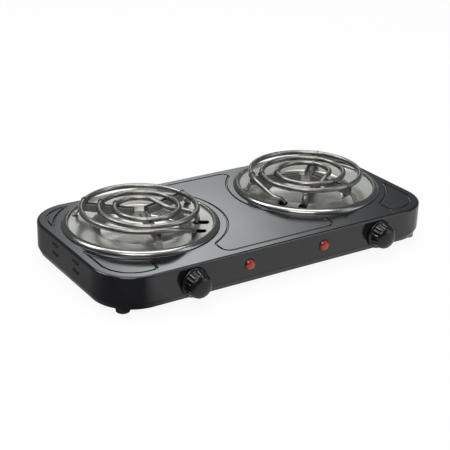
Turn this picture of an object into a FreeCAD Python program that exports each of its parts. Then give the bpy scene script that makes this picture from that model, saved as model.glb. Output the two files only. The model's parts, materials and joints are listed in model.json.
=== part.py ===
import FreeCAD, Part
import math
import os

# Twin spiral-element hot plate. Millimetres, +Z up, the front panel faces -Y.
# Shapes are built about the middle of the casing, then moved by casing_shift when written.
# Heights named rel are counted from the top face of the hob plate.

# ---------------------------------------------------------------- casing
body_width = 462.0
body_depth = 231.0
corner_radius = 51.5
skirt_height = 33.0
rim_height = 7.5
rim_inset = 3.2
foot_height = 7.0
sheet = 1.0
top_edge_radius = 3.0
plate_z = foot_height + rim_height + skirt_height
seam_gap = 0.6
lip_height = 3.2
lip_clearance = 0.2
lip_root = 0.5
tray_top_inset = 0.4
tray_wall_top = 1.4
# How far a cutting block passes the face that it cuts
over = 1.0

# Pressed grooves in the hob plate, each round a flat panel
groove_depth = 1.5
groove_width = 3.2
panel_margin = 10.5
panel_pan_gap = 7.5
panel_tip_half = 42.5
panel_corner = 12.0
panel_tip = 9.0
panel_leaf_tip = 1.6
sharp_tip_turn = 130.0
groove_floor_corner = 1.35
# The most of a panel's shortest side that the round of one corner may take
corner_share = 0.47

# ---------------------------------------------------------------- burners
burner_x = 123.0
burner_y = 15.5
left_terminal_angle = -40.0
pan_radius = 95.0
pan_sheet = 0.7
bead_height = 4.9
bead_side = 1.3
bead_knee = 2.6
bead_knee_drop = 1.1
bead_crest = 6.6
bead_width = 8.0
bead_drop = 3.2
flange_inner_rise = -1.2
bowl_radius = 59.5
bowl_floor_radius = 49.0
bowl_depth = 12.0
# Bends of the pan's sheet: three over the bead, one at its foot, then the bowl's brim and floor
pan_bends = [2.5, 5.0, 0.7, 1.0, 5.0, 4.0]
pan_opening_gap = 8.0
slot_length = 20.5
slot_width = 11.0
slot_reach = 70.5
slot_corner = 4.9
pan_hole_radius = 2.2

tube_radius = 3.25
coil_rise = 20.0
crossing_line_angle = 15.0
crossings = [75.0, 71.0, 67.0, 50.0, 45.0, 31.5, 27.0]
outer_lead_angle = -66.0
outer_ramp_turn = 15.5
outer_ramp_reach = 74.0
outer_ramp_angle = -23.0
outer_ramp_rise = 7.5
outer_leg_rise = 3.0
outer_leg_bend = 18.0
outer_ramp_bend = 48.0
clip_overhang_angle = 12.0
leg_reach = 66.0
leg_spread = 13.0
leg_bend = 8.0
under_run_rise = 12.6
under_run_dip_start = 3.2
under_run_dip_end = 25.0
under_run_bend = 16.0

support_width = 8.0
support_sheet = 1.2
support_floor_rise = 9.0
support_wall_height = 9.0
wall_overhang = 2.6
hub_overlap = 3.0
clip_post_half = 2.5
arm_bends = [1.6, 1.2]
support_hub_radius = 12.0
support_hub_hole = 2.5
support_angles = [-60.0, 60.0, 180.0]
support_turns = {"left": -4.0, "right": 4.0}
clip_sheet = 1.1
notch_clearance = 0.1
leg_slope_start = 77.0
foot_pad_start = 80.3
foot_pad_end = 84.3
foot_pad_gap = 0.3

# ---------------------------------------------------------------- element hinge
hinge_run = 9.0
hinge_drop = 18.0
tube_end_inset = 9.0
hinge_pin_radius = 1.5
hinge_clearance = 0.05
hinge_sheet = 1.2
hinge_foot = 6.0
hinge_pan_gap = 1.5
pin_head = 0.8
hinge_ear_inner = 7.2
hinge_ear_half = 4.5
saddle_sheet = 2.4
saddle_length = 8.0
saddle_end_gap = 2.0
saddle_wrap = 1.4
ear_drop = 1.5
braze_gap = 0.03
saddle_ear_inner = 5.3
tab_sheet = 1.0
tab_half = 3.5
tab_nut_step = 0.8
tab_nut_height = 1.8
pin_shoulder = 1.0
cold_pin_radius = 1.25
seal_radius = 2.9
seal_length = 2.5
terminal_screw_radius = 1.5
terminal_screw_head = 2.8
terminal_screw_head_height = 1.8
slot_cut_depth = 0.8
slot_cut_half = 0.4
lug_sheet = 0.8
lug_radius = 3.4
lug_stem_half = 1.5
lug_hole_gap = 0.1
crimp = 0.5
spade_half = 2.6
spade_half_height = 1.2
spade_overhang = 1.5
spade_start = 3.0
slip_gap = 0.15
wire_radius = 1.1
wire_gap = 0.2
clamp_gap = 0.25
lamp_wire_radius = 0.8
lug_stem = 6.0
floor_height = 1.6
low_height = 6.5
front_lane_gap = 8.0
bulb_wire_offset = 1.5
# How far the leads run straight on before they turn, and where they cross the casing
entry_start = 24.0
entry_end = 16.0
live_exit = 7.0
switched_exit = 9.0
switched_run = 18.0
lamp_exit = 12.0
bulb_exit = 8.0
neutral_turn_run = 86.0
neutral_drop_run = 54.0
lamp_neutral_exit = 10.0
lamp_neutral_shift = 12.0
lamp_neutral_run = 20.0
lamp_neutral_drop = 45.0

# ---------------------------------------------------------------- pan straps
strap_width = 14.0
strap_sheet = 1.5
strap_overhang = 3.0
strap_slope_run = 26.0
strap_bend = 3.0
screw_tail = 3.0
screw_crown = 1.2
thread_gap = 0.05
cross_reach = 2.2
cross_half = 0.5
cross_depth = 1.2
screw_radius = 2.0
screw_clearance = 0.1
screw_head_radius = 4.0
screw_head_height = 2.2

# ---------------------------------------------------------------- controls
left_knob_x = -128.0
right_knob_x = 138.5
knob_drop = 21.3
knob_gap = 1.2
knob_length = 18.5
knob_flange_radius = 18.0
knob_flange_thickness = 3.0
knob_flange_edge = 1.6
knob_grip_radius = 15.8
knob_nose_radius = 14.2
knob_dome = 5.0
knob_shoulder = 2.4
knob_flutes = 16
knob_flute_radius = 1.6
knob_flute_back = 0.1
knob_flute_front = 0.5
knob_rib_half = 0.7
knob_rib_inset = 3.0
knob_core_inset = 1.5
knob_index_half = 0.7
knob_index_depth = 1.2
knob_wall = 2.0
knob_core_radius = 5.5
shaft_radius = 3.0
shaft_flat = 1.6
shaft_clearance = 0.05
shaft_engagement = 11.0
bushing_radius = 4.6
bushing_length = 8.0
collar_radius = 4.4
collar_length = 1.5
collar_gap = 0.1
shaft_hole_gap = 0.4
bracket_sheet = 1.2
bracket_half_height = 8.0
bracket_short_side = 13.0
bracket_margin = 1.5
bushing_sink = 0.2
stack_offset = 23.0
stack_radius = 5.0
stack_disc = 2.6
blade_sheet = 0.6
blade_half = 3.2
blade_overhang = 8.0
tab_length = 9.0
tab_blade_half = 2.0
tab_shift = 6.2
tab_root = 2.5
tab_bar = 2.0
first_disc = 9.6
rivet_radius = 1.5
clip_half = 2.0
clip_leaf = 0.5
clip_length = 7.5
clip_gap = 0.2
clip_bend = 6.0
clip_rise = 0.55
clip_seat = 0.9
clip_tail = 1.8
pocket_wall = 1.0
button_radius = 2.0
button_gap = 0.15
contact_radius = 1.8
contact_height = 1.2
contact_inset = 2.5
rivet_head_height = 1.2
screw_slot_half = 0.35
screw_slot_depth = 0.4
screw_reach = 2.0
mount_screw_offset = 10.5
mount_screw_radius = 1.5
mount_screw_head = 2.6
mount_screw_head_height = 0.8

lamp_x = 53.5
lamp_drop = 17.3
lamp_dome_radius = 7.2
lamp_dome_height = 5.2
lamp_neck_radius = 4.5
lamp_neck_length = 13.0
lamp_rim = 0.8
lamp_bore_start = 1.2
lamp_hole_gap = 0.15
lamp_bore_radius = 3.3
bulb_radius = 3.0
bulb_length = 16.0
lamp_clip_radius = 8.5
lamp_clip_sheet = 0.6
lamp_clip_collar = 3.0
bulb_overhang = 0.6

# ---------------------------------------------------------------- louvres, vents, feet
louvre_length = 17.0
louvre_radius = 3.4
louvre_stand_out = 1.8
louvre_sheet = 0.8
louvre_columns = [26.0, -27.0]
louvre_drops = [9.8, 21.2]
vent_length = 44.0
vent_width = 4.0
vent_pitch = 11.0
vent_rows = 7
vent_corner = 1.95
foot_side_inset = 24.5
foot_end_inset = 22.5
foot_radius = 8.6
foot_base_radius = 8.0
foot_recess_radius = 4.4
foot_recess_depth = 4.0
foot_edge_radius = 1.5
foot_bore_gap = 0.2
base_hole_gap = 0.3
foot_screw_radius = 2.0
foot_screw_head = 3.8
foot_screw_head_height = 2.4
post_radius = 3.6
foot_screw_bite = 12.0
bore_run_out = 3.0

# ---------------------------------------------------------------- supply
gland_drop = 19.0
gland_bore_radius = 4.0
gland_neck_radius = 6.5
gland_flange_radius = 9.0
gland_flange_thickness = 2.5
gland_neck_length = 8.0
gland_hole_gap = 0.15
gland_edge_radius = 1.0
gland_ring_step = 0.8
gland_ring_length = 2.5
block_back_gap = 41.5
block_poles = 6
block_pole_pitch = 9.5
block_depth = 17.0
block_height = 13.0
block_pole_radius = 2.6
block_screw_radius = 1.7
block_screw_half_pitch = 4.5
block_end_wall = 1.5
block_corner = 1.5
block_sleeve_inset = 1.5
block_screw_shank = 1.25
block_screw_sink = 1.0
block_screw_head_height = 2.0
block_mount_head_height = 1.6
block_mount_tail = 1.5
earth_head_radius = 2.8
earth_nut_radius = 3.0
earth_nut_height = 2.4
earth_nut_rise = 1.2
earth_tail = 6.0
earth_head_height = 1.6
earth_overlap = 0.8
earth_x = 34.0
earth_back_gap = 23.5

# ---------------------------------------------------------------- worked out
# Rounding of the panels' corners by how far the outline turns there, in degrees:
# ordinary corners, the sharp tips between the burners, and the sharp tips of the end panels
panel_corners = [
    (panel_corner, 6.0, sharp_tip_turn),
    (panel_tip, sharp_tip_turn, 180.0),
    (panel_leaf_tip, 180.0 + sharp_tip_turn, 360.0),
]
casing_shift = (knob_gap + knob_length - gland_flange_thickness) / 2
front_y = -body_depth / 2
back_y = body_depth / 2
block_y = back_y - block_back_gap
earth_y = back_y - earth_back_gap
foot_x = body_width / 2 - foot_side_inset
foot_y = body_depth / 2 - foot_end_inset
strap_end_reach = pan_radius + strap_overhang
tube_end_reach = pan_radius - tube_end_inset
hinge_reach = tube_end_reach + hinge_run
saddle_end = tube_end_reach - saddle_end_gap
saddle_start = saddle_end - saddle_length
panel_inner_y = front_y + sheet
knob_back = front_y - knob_gap
knob_nose = knob_back - knob_length
shaft_tip = knob_back - shaft_engagement
skirt_bottom = plate_z - skirt_height
base_bottom = foot_height
base_top = base_bottom + sheet
ceiling_z = plate_z - sheet
coil_z = plate_z + coil_rise
hinge_z = plate_z - hinge_drop
pan_opening_radius = pan_radius - pan_opening_gap
knob_z = plate_z - knob_drop
lamp_z = plate_z - lamp_drop
gland_z = plate_z - gland_drop
pole_z = base_top + block_height / 2
floor_lane = base_top + floor_height
low_lane = base_top + low_height
front_lane = front_y + front_lane_gap
bulb_front = front_y - bulb_overhang
bulb_rear = bulb_front + bulb_length
right_terminal_angle = -180.0 - left_terminal_angle
lug_v = leg_spread + tab_sheet / 2 + slip_gap
BURNERS = {
    "left": (-burner_x, burner_y, left_terminal_angle),
    "right": (burner_x, burner_y, right_terminal_angle),
}
KNOBS = {"left": left_knob_x, "right": right_knob_x}
LAMPS = {"left": -lamp_x, "right": lamp_x}
Z = FreeCAD.Vector(0, 0, 1)
ORIGIN = FreeCAD.Vector(0, 0, 0)


def vec(x, y, z=0.0):
    return FreeCAD.Vector(x, y, z)


def save(name, *solids):
    """Write one piece, or a group of like pieces, as a STEP file."""
    shape = solids[0] if len(solids) == 1 else Part.makeCompound(list(solids))
    shape = shape.copy()
    shape.translate(vec(0, casing_shift, 0))
    shape.exportStep("parts/" + name + ".step")


def moved(shape, x=0.0, y=0.0, z=0.0):
    shape = shape.copy()
    shape.translate(vec(x, y, z))
    return shape


def at_burner(shape, side):
    """Place a shape made in burner axes: u to the terminals, v across, height from the table."""
    x, y, angle = BURNERS[side]
    shape = shape.copy()
    shape.rotate(ORIGIN, Z, angle)
    shape.translate(vec(x, y, 0))
    return shape


def burner_point(side, u, v, z):
    x, y, angle = BURNERS[side]
    a = math.radians(angle)
    return vec(
        x + u * math.cos(a) - v * math.sin(a),
        y + u * math.sin(a) + v * math.cos(a),
        z,
    )


def box(x0, x1, y0, y1, z0, z1):
    return Part.makeBox(x1 - x0, y1 - y0, z1 - z0, vec(x0, y0, z0))


def cyl_z(radius, x, y, z0, z1):
    return Part.makeCylinder(radius, z1 - z0, vec(x, y, z0), Z)


def cyl_y(radius, x, z, y0, y1):
    return Part.makeCylinder(radius, y1 - y0, vec(x, y0, z), vec(0, 1, 0))


def rounded_rect(width, depth, radius, z):
    """Closed wire of a rectangle with round corners, about the middle of the casing."""
    w = width / 2 - radius
    d = depth / 2 - radius
    k = radius * math.sqrt(0.5)
    edges = []
    for sx, sy, vertical_first in ((1, -1, 0), (1, 1, 1), (-1, 1, 0), (-1, -1, 1)):
        cx, cy = sx * w, sy * d
        side = vec(cx + sx * radius, cy, z)
        end = vec(cx, cy + sy * radius, z)
        a, b = (side, end) if vertical_first else (end, side)
        edges.append(Part.Arc(a, vec(cx + sx * k, cy + sy * k, z), b).toShape())
    closed = []
    for i, arc in enumerate(edges):
        closed.append(arc)
        nxt = edges[(i + 1) % 4]
        closed.append(Part.makeLine(arc.Vertexes[-1].Point, nxt.Vertexes[0].Point))
    return Part.Wire(closed)


def slab(width, depth, radius, z0, z1):
    face = Part.Face(rounded_rect(width, depth, radius, z0))
    return face.extrude(vec(0, 0, z1 - z0))


def tapered(inset0, z0, inset1, z1):
    """Block between two outlines that lie the given insets inside the casing's outline."""
    wires = []
    for inset, z in ((inset0, z0), (inset1, z1)):
        wires.append(
            rounded_rect(body_width - 2 * inset, body_depth - 2 * inset, corner_radius - inset, z)
        )
    return Part.makeLoft(wires, True, True)


def path_edges(points, radii):
    """Straight runs through the points, joined by tangent arcs of the given radii."""
    edges = []
    start = points[0]
    for i, radius in enumerate(radii):
        p = points[i + 1]
        d1 = (p - points[i]).normalize()
        d2 = (points[i + 2] - p).normalize()
        turn = d1.getAngle(d2)
        cut = radius * math.tan(turn / 2)
        inward = (d2 - d1).normalize()
        a = p - d1 * cut
        b = p + d2 * cut
        mid = p + inward * (radius / math.cos(turn / 2) - radius)
        if (a - start).Length > 1e-6:
            edges.append(Part.makeLine(start, a))
        edges.append(Part.Arc(a, mid, b).toShape())
        start = b
    edges.append(Part.makeLine(start, points[-1]))
    return edges


def rod_along(edges, radius):
    """Round bar whose middle follows the edges."""
    wire = Part.Wire(edges)
    first = edges[0]
    start = first.valueAt(first.FirstParameter)
    direction = first.tangentAt(first.FirstParameter)
    circle = Part.Wire([Part.Circle(start, direction, radius).toShape()])
    return wire.makePipeShell([circle], True, False)


def offset_line(points, distance):
    """The points of an open line moved sideways, in the plane of its first two coordinates."""
    out = []
    normals = []
    for a, b in zip(points, points[1:]):
        dx, dy = b[0] - a[0], b[1] - a[1]
        length = math.hypot(dx, dy)
        normals.append((-dy / length, dx / length))
    for i, p in enumerate(points):
        n1 = normals[max(i - 1, 0)]
        n2 = normals[min(i, len(normals) - 1)]
        share = 1.0 + n1[0] * n2[0] + n1[1] * n2[1]
        out.append(
            (
                p[0] + distance * (n1[0] + n2[0]) / share,
                p[1] + distance * (n1[1] + n2[1]) / share,
            )
        )
    return out


def sheet_section(points, radii, thickness):
    """Face of bent sheet of one thickness along an open line in the XZ plane, with round bends."""
    sides = []
    for sign in (1, -1):
        half = sign * thickness / 2
        line = offset_line(points, half)
        side_radii = []
        for i, radius in enumerate(radii):
            a, b, c = points[i], points[i + 1], points[i + 2]
            turn = (b[0] - a[0]) * (c[1] - b[1]) - (b[1] - a[1]) * (c[0] - b[0])
            side_radii.append(radius - half if turn > 0 else radius + half)
        corners = [vec(x, 0, z) for x, z in line]
        sides.append(path_edges(corners, side_radii))
    ends = []
    for index in (0, -1):
        a = sides[0][index].Vertexes[index].Point
        b = sides[1][index].Vertexes[index].Point
        ends.append(Part.makeLine(a, b))
    edges = Part.__sortEdges__(sides[0] + sides[1] + ends)
    return Part.Face(Part.Wire(edges))


def across(face, width):
    """Sheet face in the XZ plane, given a width centred on that plane."""
    return moved(face.extrude(vec(0, width, 0)), y=-width / 2)


# ================================================================ casing
def panel_region(z0, z1, grow):
    """Prism over the five panels and their grooves, made larger all round by grow."""
    margin = panel_margin - grow
    block = slab(
        body_width - 2 * margin, body_depth - 2 * margin, corner_radius - margin, z0, z1
    )
    keep_out = pan_radius + panel_pan_gap - grow
    tip_half = panel_tip_half - grow
    for x, y, _ in BURNERS.values():
        block = block.cut(cyl_z(keep_out, x, y, z0 - over, z1 + over))
        x0, x1 = x - tip_half, x + tip_half
        block = block.cut(box(x0, x1, -body_depth, body_depth, z0 - over, z1 + over))
    panels = []
    for solid in block.Solids:
        shortest = min(e.Length for e in solid.Edges if e.BoundBox.ZLength < 0.01)
        for radius, low, high in panel_corners:
            upright = [e for e in solid.Edges if low < corner_turn(e, solid, z1 - z0) < high]
            if upright and radius + grow > 0:
                solid = solid.makeFillet(min(radius + grow, shortest * corner_share), upright)
        panels.append(solid)
    return panels


def corner_turn(edge, solid, height):
    """Degrees between the outward sides of the two faces at an upright edge of a prism."""
    if len(edge.Vertexes) < 2 or abs(edge.Vertexes[0].Z - edge.Vertexes[1].Z) < height / 2:
        return 0.0
    mid = edge.valueAt((edge.FirstParameter + edge.LastParameter) / 2)
    normals = []
    for face in solid.ancestorsOfType(edge, Part.Face):
        u, v = face.Surface.parameter(mid)
        normals.append(face.normalAt(u, v))
    turn = math.degrees(normals[0].getAngle(normals[1]))
    is_leaf = abs(mid.x) > burner_x
    return turn + 180.0 if is_leaf and turn > sharp_tip_turn else turn


def grooves(z0, z1, grow):
    """Bars that follow the grooves, made wider on both sides by grow."""
    inside = panel_region(z0 - over, z1 + over, -groove_width - grow)
    bars = []
    for bar in panel_region(z0, z1, grow):
        for panel in inside:
            bar = bar.cut(panel)
        bars.append(bar)
    return bars


def groove_tools():
    """Blocks that press the grooves in: round where their walls meet the floor."""
    floor = plate_z - groove_depth
    tools = []
    for bar in grooves(floor, plate_z + over, 0.0):
        low = [e for e in bar.Edges if e.BoundBox.ZMax < floor + 0.01]
        tools.append(bar.makeFillet(groove_floor_corner, low))
    return tools


def louvre(drop, along, side):
    """Hood of one louvre and the opening behind it, on the end wall of that side."""
    wall_x = side * body_width / 2
    axis_x = wall_x + side * (louvre_stand_out - louvre_radius)
    z = plate_z - drop
    half = louvre_length / 2 - louvre_radius

    def capsule(radius):
        bar = cyl_y(radius, axis_x, z, along - half, along + half)
        for end in (along - half, along + half):
            bar = bar.fuse(Part.makeSphere(radius, vec(axis_x, end, z)))
        return bar

    far = louvre_length
    x0, x1 = sorted((wall_x - side * sheet, wall_x + side * far))
    upper = box(axis_x - far, axis_x + far, along - far, along + far, z, z + far)
    outside = box(x0, x1, along - far, along + far, z - far, z + far)
    hollow = capsule(louvre_radius - louvre_sheet)
    hood = capsule(louvre_radius).common(upper).common(outside).cut(hollow)
    return hood, hollow.common(upper)


def top_housing():
    outer = slab(body_width, body_depth, corner_radius, skirt_bottom, plate_z)
    rim = [e for e in outer.Edges if e.BoundBox.ZMin > plate_z - 0.01]
    outer = outer.makeFillet(top_edge_radius, rim)
    inner = slab(
        body_width - 2 * sheet,
        body_depth - 2 * sheet,
        corner_radius - sheet,
        skirt_bottom - over,
        ceiling_z,
    )
    rim = [e for e in inner.Edges if e.BoundBox.ZMin > ceiling_z - 0.01]
    inner = inner.makeFillet(top_edge_radius - sheet, rim)
    shell = outer.cut(inner)
    for ridge in grooves(ceiling_z - groove_depth, plate_z - sheet / 2, sheet):
        shell = shell.fuse(ridge)
    for tool in groove_tools():
        shell = shell.cut(tool)
    for x, y, _ in BURNERS.values():
        low = ceiling_z - groove_depth - over
        shell = shell.cut(cyl_z(pan_opening_radius, x, y, low, plate_z + over))
    for x in KNOBS.values():
        hole = bushing_radius + shaft_hole_gap
        shell = shell.cut(cyl_y(hole, x, knob_z, front_y - over, panel_inner_y + over))
        for dx in (-mount_screw_offset, mount_screw_offset):
            hole = mount_screw_radius + screw_clearance
            bore = cyl_y(hole, x + dx, knob_z, front_y - over, panel_inner_y + over)
            shell = shell.cut(bore)
    for x in LAMPS.values():
        hole = lamp_neck_radius + lamp_hole_gap
        shell = shell.cut(cyl_y(hole, x, lamp_z, front_y - over, panel_inner_y + over))
    hole = gland_neck_radius + gland_hole_gap
    shell = shell.cut(cyl_y(hole, 0, gland_z, back_y - sheet - over, back_y + over))
    for side in (-1, 1):
        for along in louvre_columns:
            for drop in louvre_drops:
                hood, opening = louvre(drop, along, side)
                shell = shell.cut(opening).fuse(hood)
    return shell.removeSplitter()


def base_plate():
    lip_inset = sheet + lip_clearance
    rim_top = skirt_bottom - seam_gap
    lip_low = rim_top - lip_root
    lip_top = skirt_bottom + lip_height
    outer = tapered(rim_inset, base_bottom, tray_top_inset, rim_top)
    outer = outer.fuse(tapered(lip_inset, lip_low, lip_inset, lip_top))
    inner = tapered(rim_inset + sheet, base_top, tray_top_inset + tray_wall_top, rim_top)
    inner = inner.fuse(tapered(lip_inset + sheet, lip_low, lip_inset + sheet, lip_top + over))
    tray = outer.cut(inner)
    for x, y, _ in BURNERS.values():
        for i in range(vent_rows):
            row_y = y + (i - (vent_rows - 1) / 2) * vent_pitch
            cut = box(
                x - vent_length / 2, x + vent_length / 2, row_y - vent_width / 2,
                row_y + vent_width / 2, base_bottom - over, base_top + over,
            )
            upright = [e for e in cut.Edges if abs(e.tangentAt(e.FirstParameter).z) > 0.9]
            tray = tray.cut(cut.makeFillet(vent_corner, upright))
    for x, y in foot_places():
        hole = foot_screw_radius + base_hole_gap
        tray = tray.cut(cyl_z(hole, x, y, base_bottom - over, base_top + over))
    small_holes = [(x, block_y) for x in (-block_pole_pitch, block_pole_pitch)]
    for x, y in small_holes + [(earth_x, earth_y)]:
        tray = tray.cut(cyl_z(mount_screw_radius, x, y, base_bottom - over, base_top + over))
    return tray.removeSplitter()


def foot_places():
    return [(x, y) for x in (-foot_x, foot_x) for y in (-foot_y, foot_y)]


def rubber_foot(x, y):
    foot = Part.makeCone(foot_base_radius, foot_radius, foot_height, vec(x, y, 0), Z)
    low = [e for e in foot.Edges if e.BoundBox.ZMax < 0.01]
    foot = foot.makeFillet(foot_edge_radius, low)
    foot = foot.cut(cyl_z(foot_recess_radius, x, y, -over, foot_recess_depth))
    return foot.cut(cyl_z(foot_screw_radius + foot_bore_gap, x, y, -over, foot_height + over))


def foot_screw(x, y):
    head_z = foot_recess_depth - foot_screw_head_height
    screw = cyl_z(foot_screw_head, x, y, head_z, foot_recess_depth)
    cross = cross_recess(x, y, head_z - over, head_z + cross_depth)
    top = base_top + foot_screw_bite
    return screw.cut(cross).fuse(cyl_z(foot_screw_radius, x, y, foot_recess_depth, top))


def cross_recess(x, y, z0, z1):
    """Cross-shaped block that cuts a driver recess into a screw's head."""
    a = box(x - cross_reach, x + cross_reach, y - cross_half, y + cross_half, z0, z1)
    b = box(x - cross_half, x + cross_half, y - cross_reach, y + cross_reach, z0, z1)
    return a.fuse(b)


def corner_post(x, y):
    """Threaded stand-off welded under a corner of the hob plate, which a foot screw bites in."""
    post = cyl_z(post_radius, x, y, base_top, ceiling_z - groove_depth)
    bore_top = base_top + foot_screw_bite + bore_run_out
    return post.cut(cyl_z(foot_screw_radius + thread_gap, x, y, base_top - over, bore_top))


# ================================================================ drip pans and straps
def pan_line():
    """Middle of the pan's sheet, from its outer edge to its axis."""
    half = pan_sheet / 2
    edge = pan_radius - half
    crown = plate_z + bead_height - half
    return [
        (edge, plate_z),
        (edge, plate_z + bead_side),
        (edge - bead_knee, crown - bead_knee_drop),
        (edge - bead_crest, crown),
        (edge - bead_width, crown - bead_drop),
        (bowl_radius, plate_z + flange_inner_rise + half),
        (bowl_floor_radius, plate_z - bowl_depth + half),
        (0.0, plate_z - bowl_depth + half),
    ]


def flange_height(reach):
    """Height of the pan flange's upper face at a distance from the burner's axis."""
    line = pan_line()
    (r1, z1), (r0, z0) = line[4], line[5]
    share = (reach - r0) / (r1 - r0)
    return z0 + share * (z1 - z0) + pan_sheet / 2


def drip_pan(side):
    pan = sheet_section(pan_line(), pan_bends, pan_sheet).revolve(ORIGIN, Z, 360)
    for v in (-leg_spread, leg_spread):
        slot = box(
            slot_reach - slot_length / 2, slot_reach + slot_length / 2,
            v - slot_width / 2, v + slot_width / 2, plate_z - bowl_depth / 2, plate_z + bead_height,
        )
        upright = [e for e in slot.Edges if abs(e.tangentAt(e.FirstParameter).z) > 0.9]
        pan = pan.cut(slot.makeFillet(slot_corner, upright))
    pan = pan.cut(cyl_z(pan_hole_radius, 0, 0, 0, plate_z))
    return at_burner(pan, side)


def pan_strap(side):
    half = strap_sheet / 2
    low = plate_z - bowl_depth - half
    points = [
        (strap_end_reach, ceiling_z - half),
        (bowl_radius + strap_slope_run, ceiling_z - half),
        (bowl_radius, low),
        (-bowl_radius, low),
        (-bowl_radius - strap_slope_run, ceiling_z - half),
        (-strap_end_reach, ceiling_z - half),
    ]
    strap = across(sheet_section(points, [strap_bend] * 4, strap_sheet), strap_width)
    strap = strap.cut(cyl_z(screw_radius + screw_clearance, 0, 0, 0, plate_z))
    strap.rotate(ORIGIN, Z, 90)
    return at_burner(strap, side)


def pan_screw(side):
    seat = plate_z - bowl_depth + pan_sheet
    head = cyl_z(screw_head_radius, 0, 0, seat, seat + screw_head_height)
    top = seat + screw_head_height
    crown = [e for e in head.Edges if e.BoundBox.ZMin > top - 0.01]
    head = head.makeFillet(screw_crown, crown)
    cross = cross_recess(0, 0, top - cross_depth, top + over)
    low = plate_z - bowl_depth - strap_sheet - screw_tail
    return at_burner(head.cut(cross).fuse(cyl_z(screw_radius, 0, 0, low, seat)), side)


# ================================================================ elements
def arc_circle(k):
    """Centre and radius of half turn k of the spiral: the centres lie on one line."""
    a, b = crossings[k], crossings[k + 1]
    plus, minus = (a, b) if k % 2 == 0 else (b, a)
    shift = (plus - minus) / 2
    line = math.radians(crossing_line_angle)
    return vec(shift * math.cos(line), shift * math.sin(line), coil_z), (a + b) / 2


def tangent(a, way):
    """Level direction along a ring at angle a (radians): way 1 is clockwise, inwards along the coil."""
    return vec(way * math.sin(a), -way * math.cos(a), 0)


def on_circle(k, degrees):
    centre, radius = arc_circle(k)
    a = math.radians(degrees)
    return centre + vec(radius * math.cos(a), radius * math.sin(a), 0)


def inner_tangent_angle():
    """Where the last half turn leaves for the inner leg in a straight line."""
    centre, radius = arc_circle(len(crossings) - 2)
    dx, dy = leg_reach - centre.x, leg_spread - centre.y
    reach = math.hypot(dx, dy)
    return math.degrees(math.atan2(dy, dx) + math.acos(radius / reach))


def coil_edges():
    """Middle line of the heating tube, from its outer end to its inner end."""
    start = on_circle(0, outer_lead_angle)
    a = math.radians(outer_lead_angle)
    level_end = start + tangent(a, -1) * (arc_circle(0)[1] * math.tan(math.radians(outer_ramp_turn)))
    a = math.radians(outer_ramp_angle)
    ramp = vec(outer_ramp_reach * math.cos(a), outer_ramp_reach * math.sin(a), plate_z + outer_ramp_rise)
    outer = [
        vec(tube_end_reach, -leg_spread, hinge_z),
        vec(leg_reach, -leg_spread, hinge_z),
        vec(leg_reach, -leg_spread, plate_z + outer_leg_rise),
        ramp,
        level_end,
        start,
    ]
    edges = path_edges(outer, [leg_bend, leg_bend, outer_leg_bend, outer_ramp_bend])
    last = len(crossings) - 2
    begin = outer_lead_angle
    for k in range(last + 1):
        finish = crossing_line_angle - 180.0 * (k + 1)
        if k == last:
            finish = inner_tangent_angle() - 360.0 * round((k + 1) / 2)
        middle = (begin + finish) / 2
        arc = Part.Arc(on_circle(k, begin), on_circle(k, middle), on_circle(k, finish))
        edges.append(arc.toShape())
        begin = finish
    leave = on_circle(last, begin)
    a = math.radians(begin)
    ahead = tangent(a, 1)
    run = math.hypot(leg_reach - leave.x, leg_spread - leave.y)
    low = vec(0, 0, under_run_rise - coil_rise)
    inner = [
        leave,
        leave + ahead * under_run_dip_start,
        leave + ahead * under_run_dip_end + low,
        leave + ahead * run + low,
        vec(leg_reach, leg_spread, hinge_z),
        vec(tube_end_reach, leg_spread, hinge_z),
    ]
    return edges + path_edges(inner, [under_run_bend, under_run_bend, leg_bend, leg_bend])


def ring_crossings(degrees):
    """Distances from the axis at which a ray at that angle meets the tube's upper turns."""
    reaches = []
    line = math.radians(crossing_line_angle)
    last = len(crossings) - 2
    end = inner_tangent_angle() - 360.0 * round((last + 1) / 2)
    turn = degrees
    while turn > outer_lead_angle + clip_overhang_angle:
        turn -= 360.0
    while turn > end:
        k = max(0, math.floor((crossing_line_angle - turn) / 180.0))
        centre, radius = arc_circle(k)
        shift = centre.x * math.cos(line) + centre.y * math.sin(line)
        away = math.radians(turn) - line
        reaches.append(
            shift * math.cos(away) + math.sqrt(radius**2 - (shift * math.sin(away)) ** 2)
        )
        turn -= 360.0
    return reaches


def element_tube(side):
    return at_burner(rod_along(coil_edges(), tube_radius), side)


def support_leg(degrees):
    """One channel-shaped arm, with a clip round each turn that it carries."""
    half = support_sheet / 2
    floor_z = plate_z + support_floor_rise
    pad_z = flange_height(foot_pad_end) + foot_pad_gap
    points = [
        (0.0, floor_z + half),
        (leg_slope_start, floor_z + half),
        (foot_pad_start, pad_z + half),
        (foot_pad_end, pad_z + half),
    ]
    leg = across(sheet_section(points, arm_bends, support_sheet), support_width)
    wall_end = max(ring_crossings(degrees)) + wall_overhang
    for sign in (-1, 1):
        y = sign * (support_width / 2 - half)
        wall = box(
            support_hub_radius - hub_overlap, wall_end,
            y - half, y + half, floor_z, floor_z + support_wall_height,
        )
        leg = leg.fuse(wall)
    clip_y = -support_width / 2
    for reach in ring_crossings(degrees):
        clip_end = clip_y + support_sheet
        clip_radius = tube_radius + notch_clearance + clip_sheet
        band = cyl_y(clip_radius, reach, coil_z, clip_y, clip_end)
        post = box(
            reach - clip_post_half, reach + clip_post_half, clip_y, clip_end, floor_z, coil_z
        )
        leg = leg.fuse(band).fuse(post)
    leg.rotate(ORIGIN, Z, degrees)
    return leg


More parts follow.
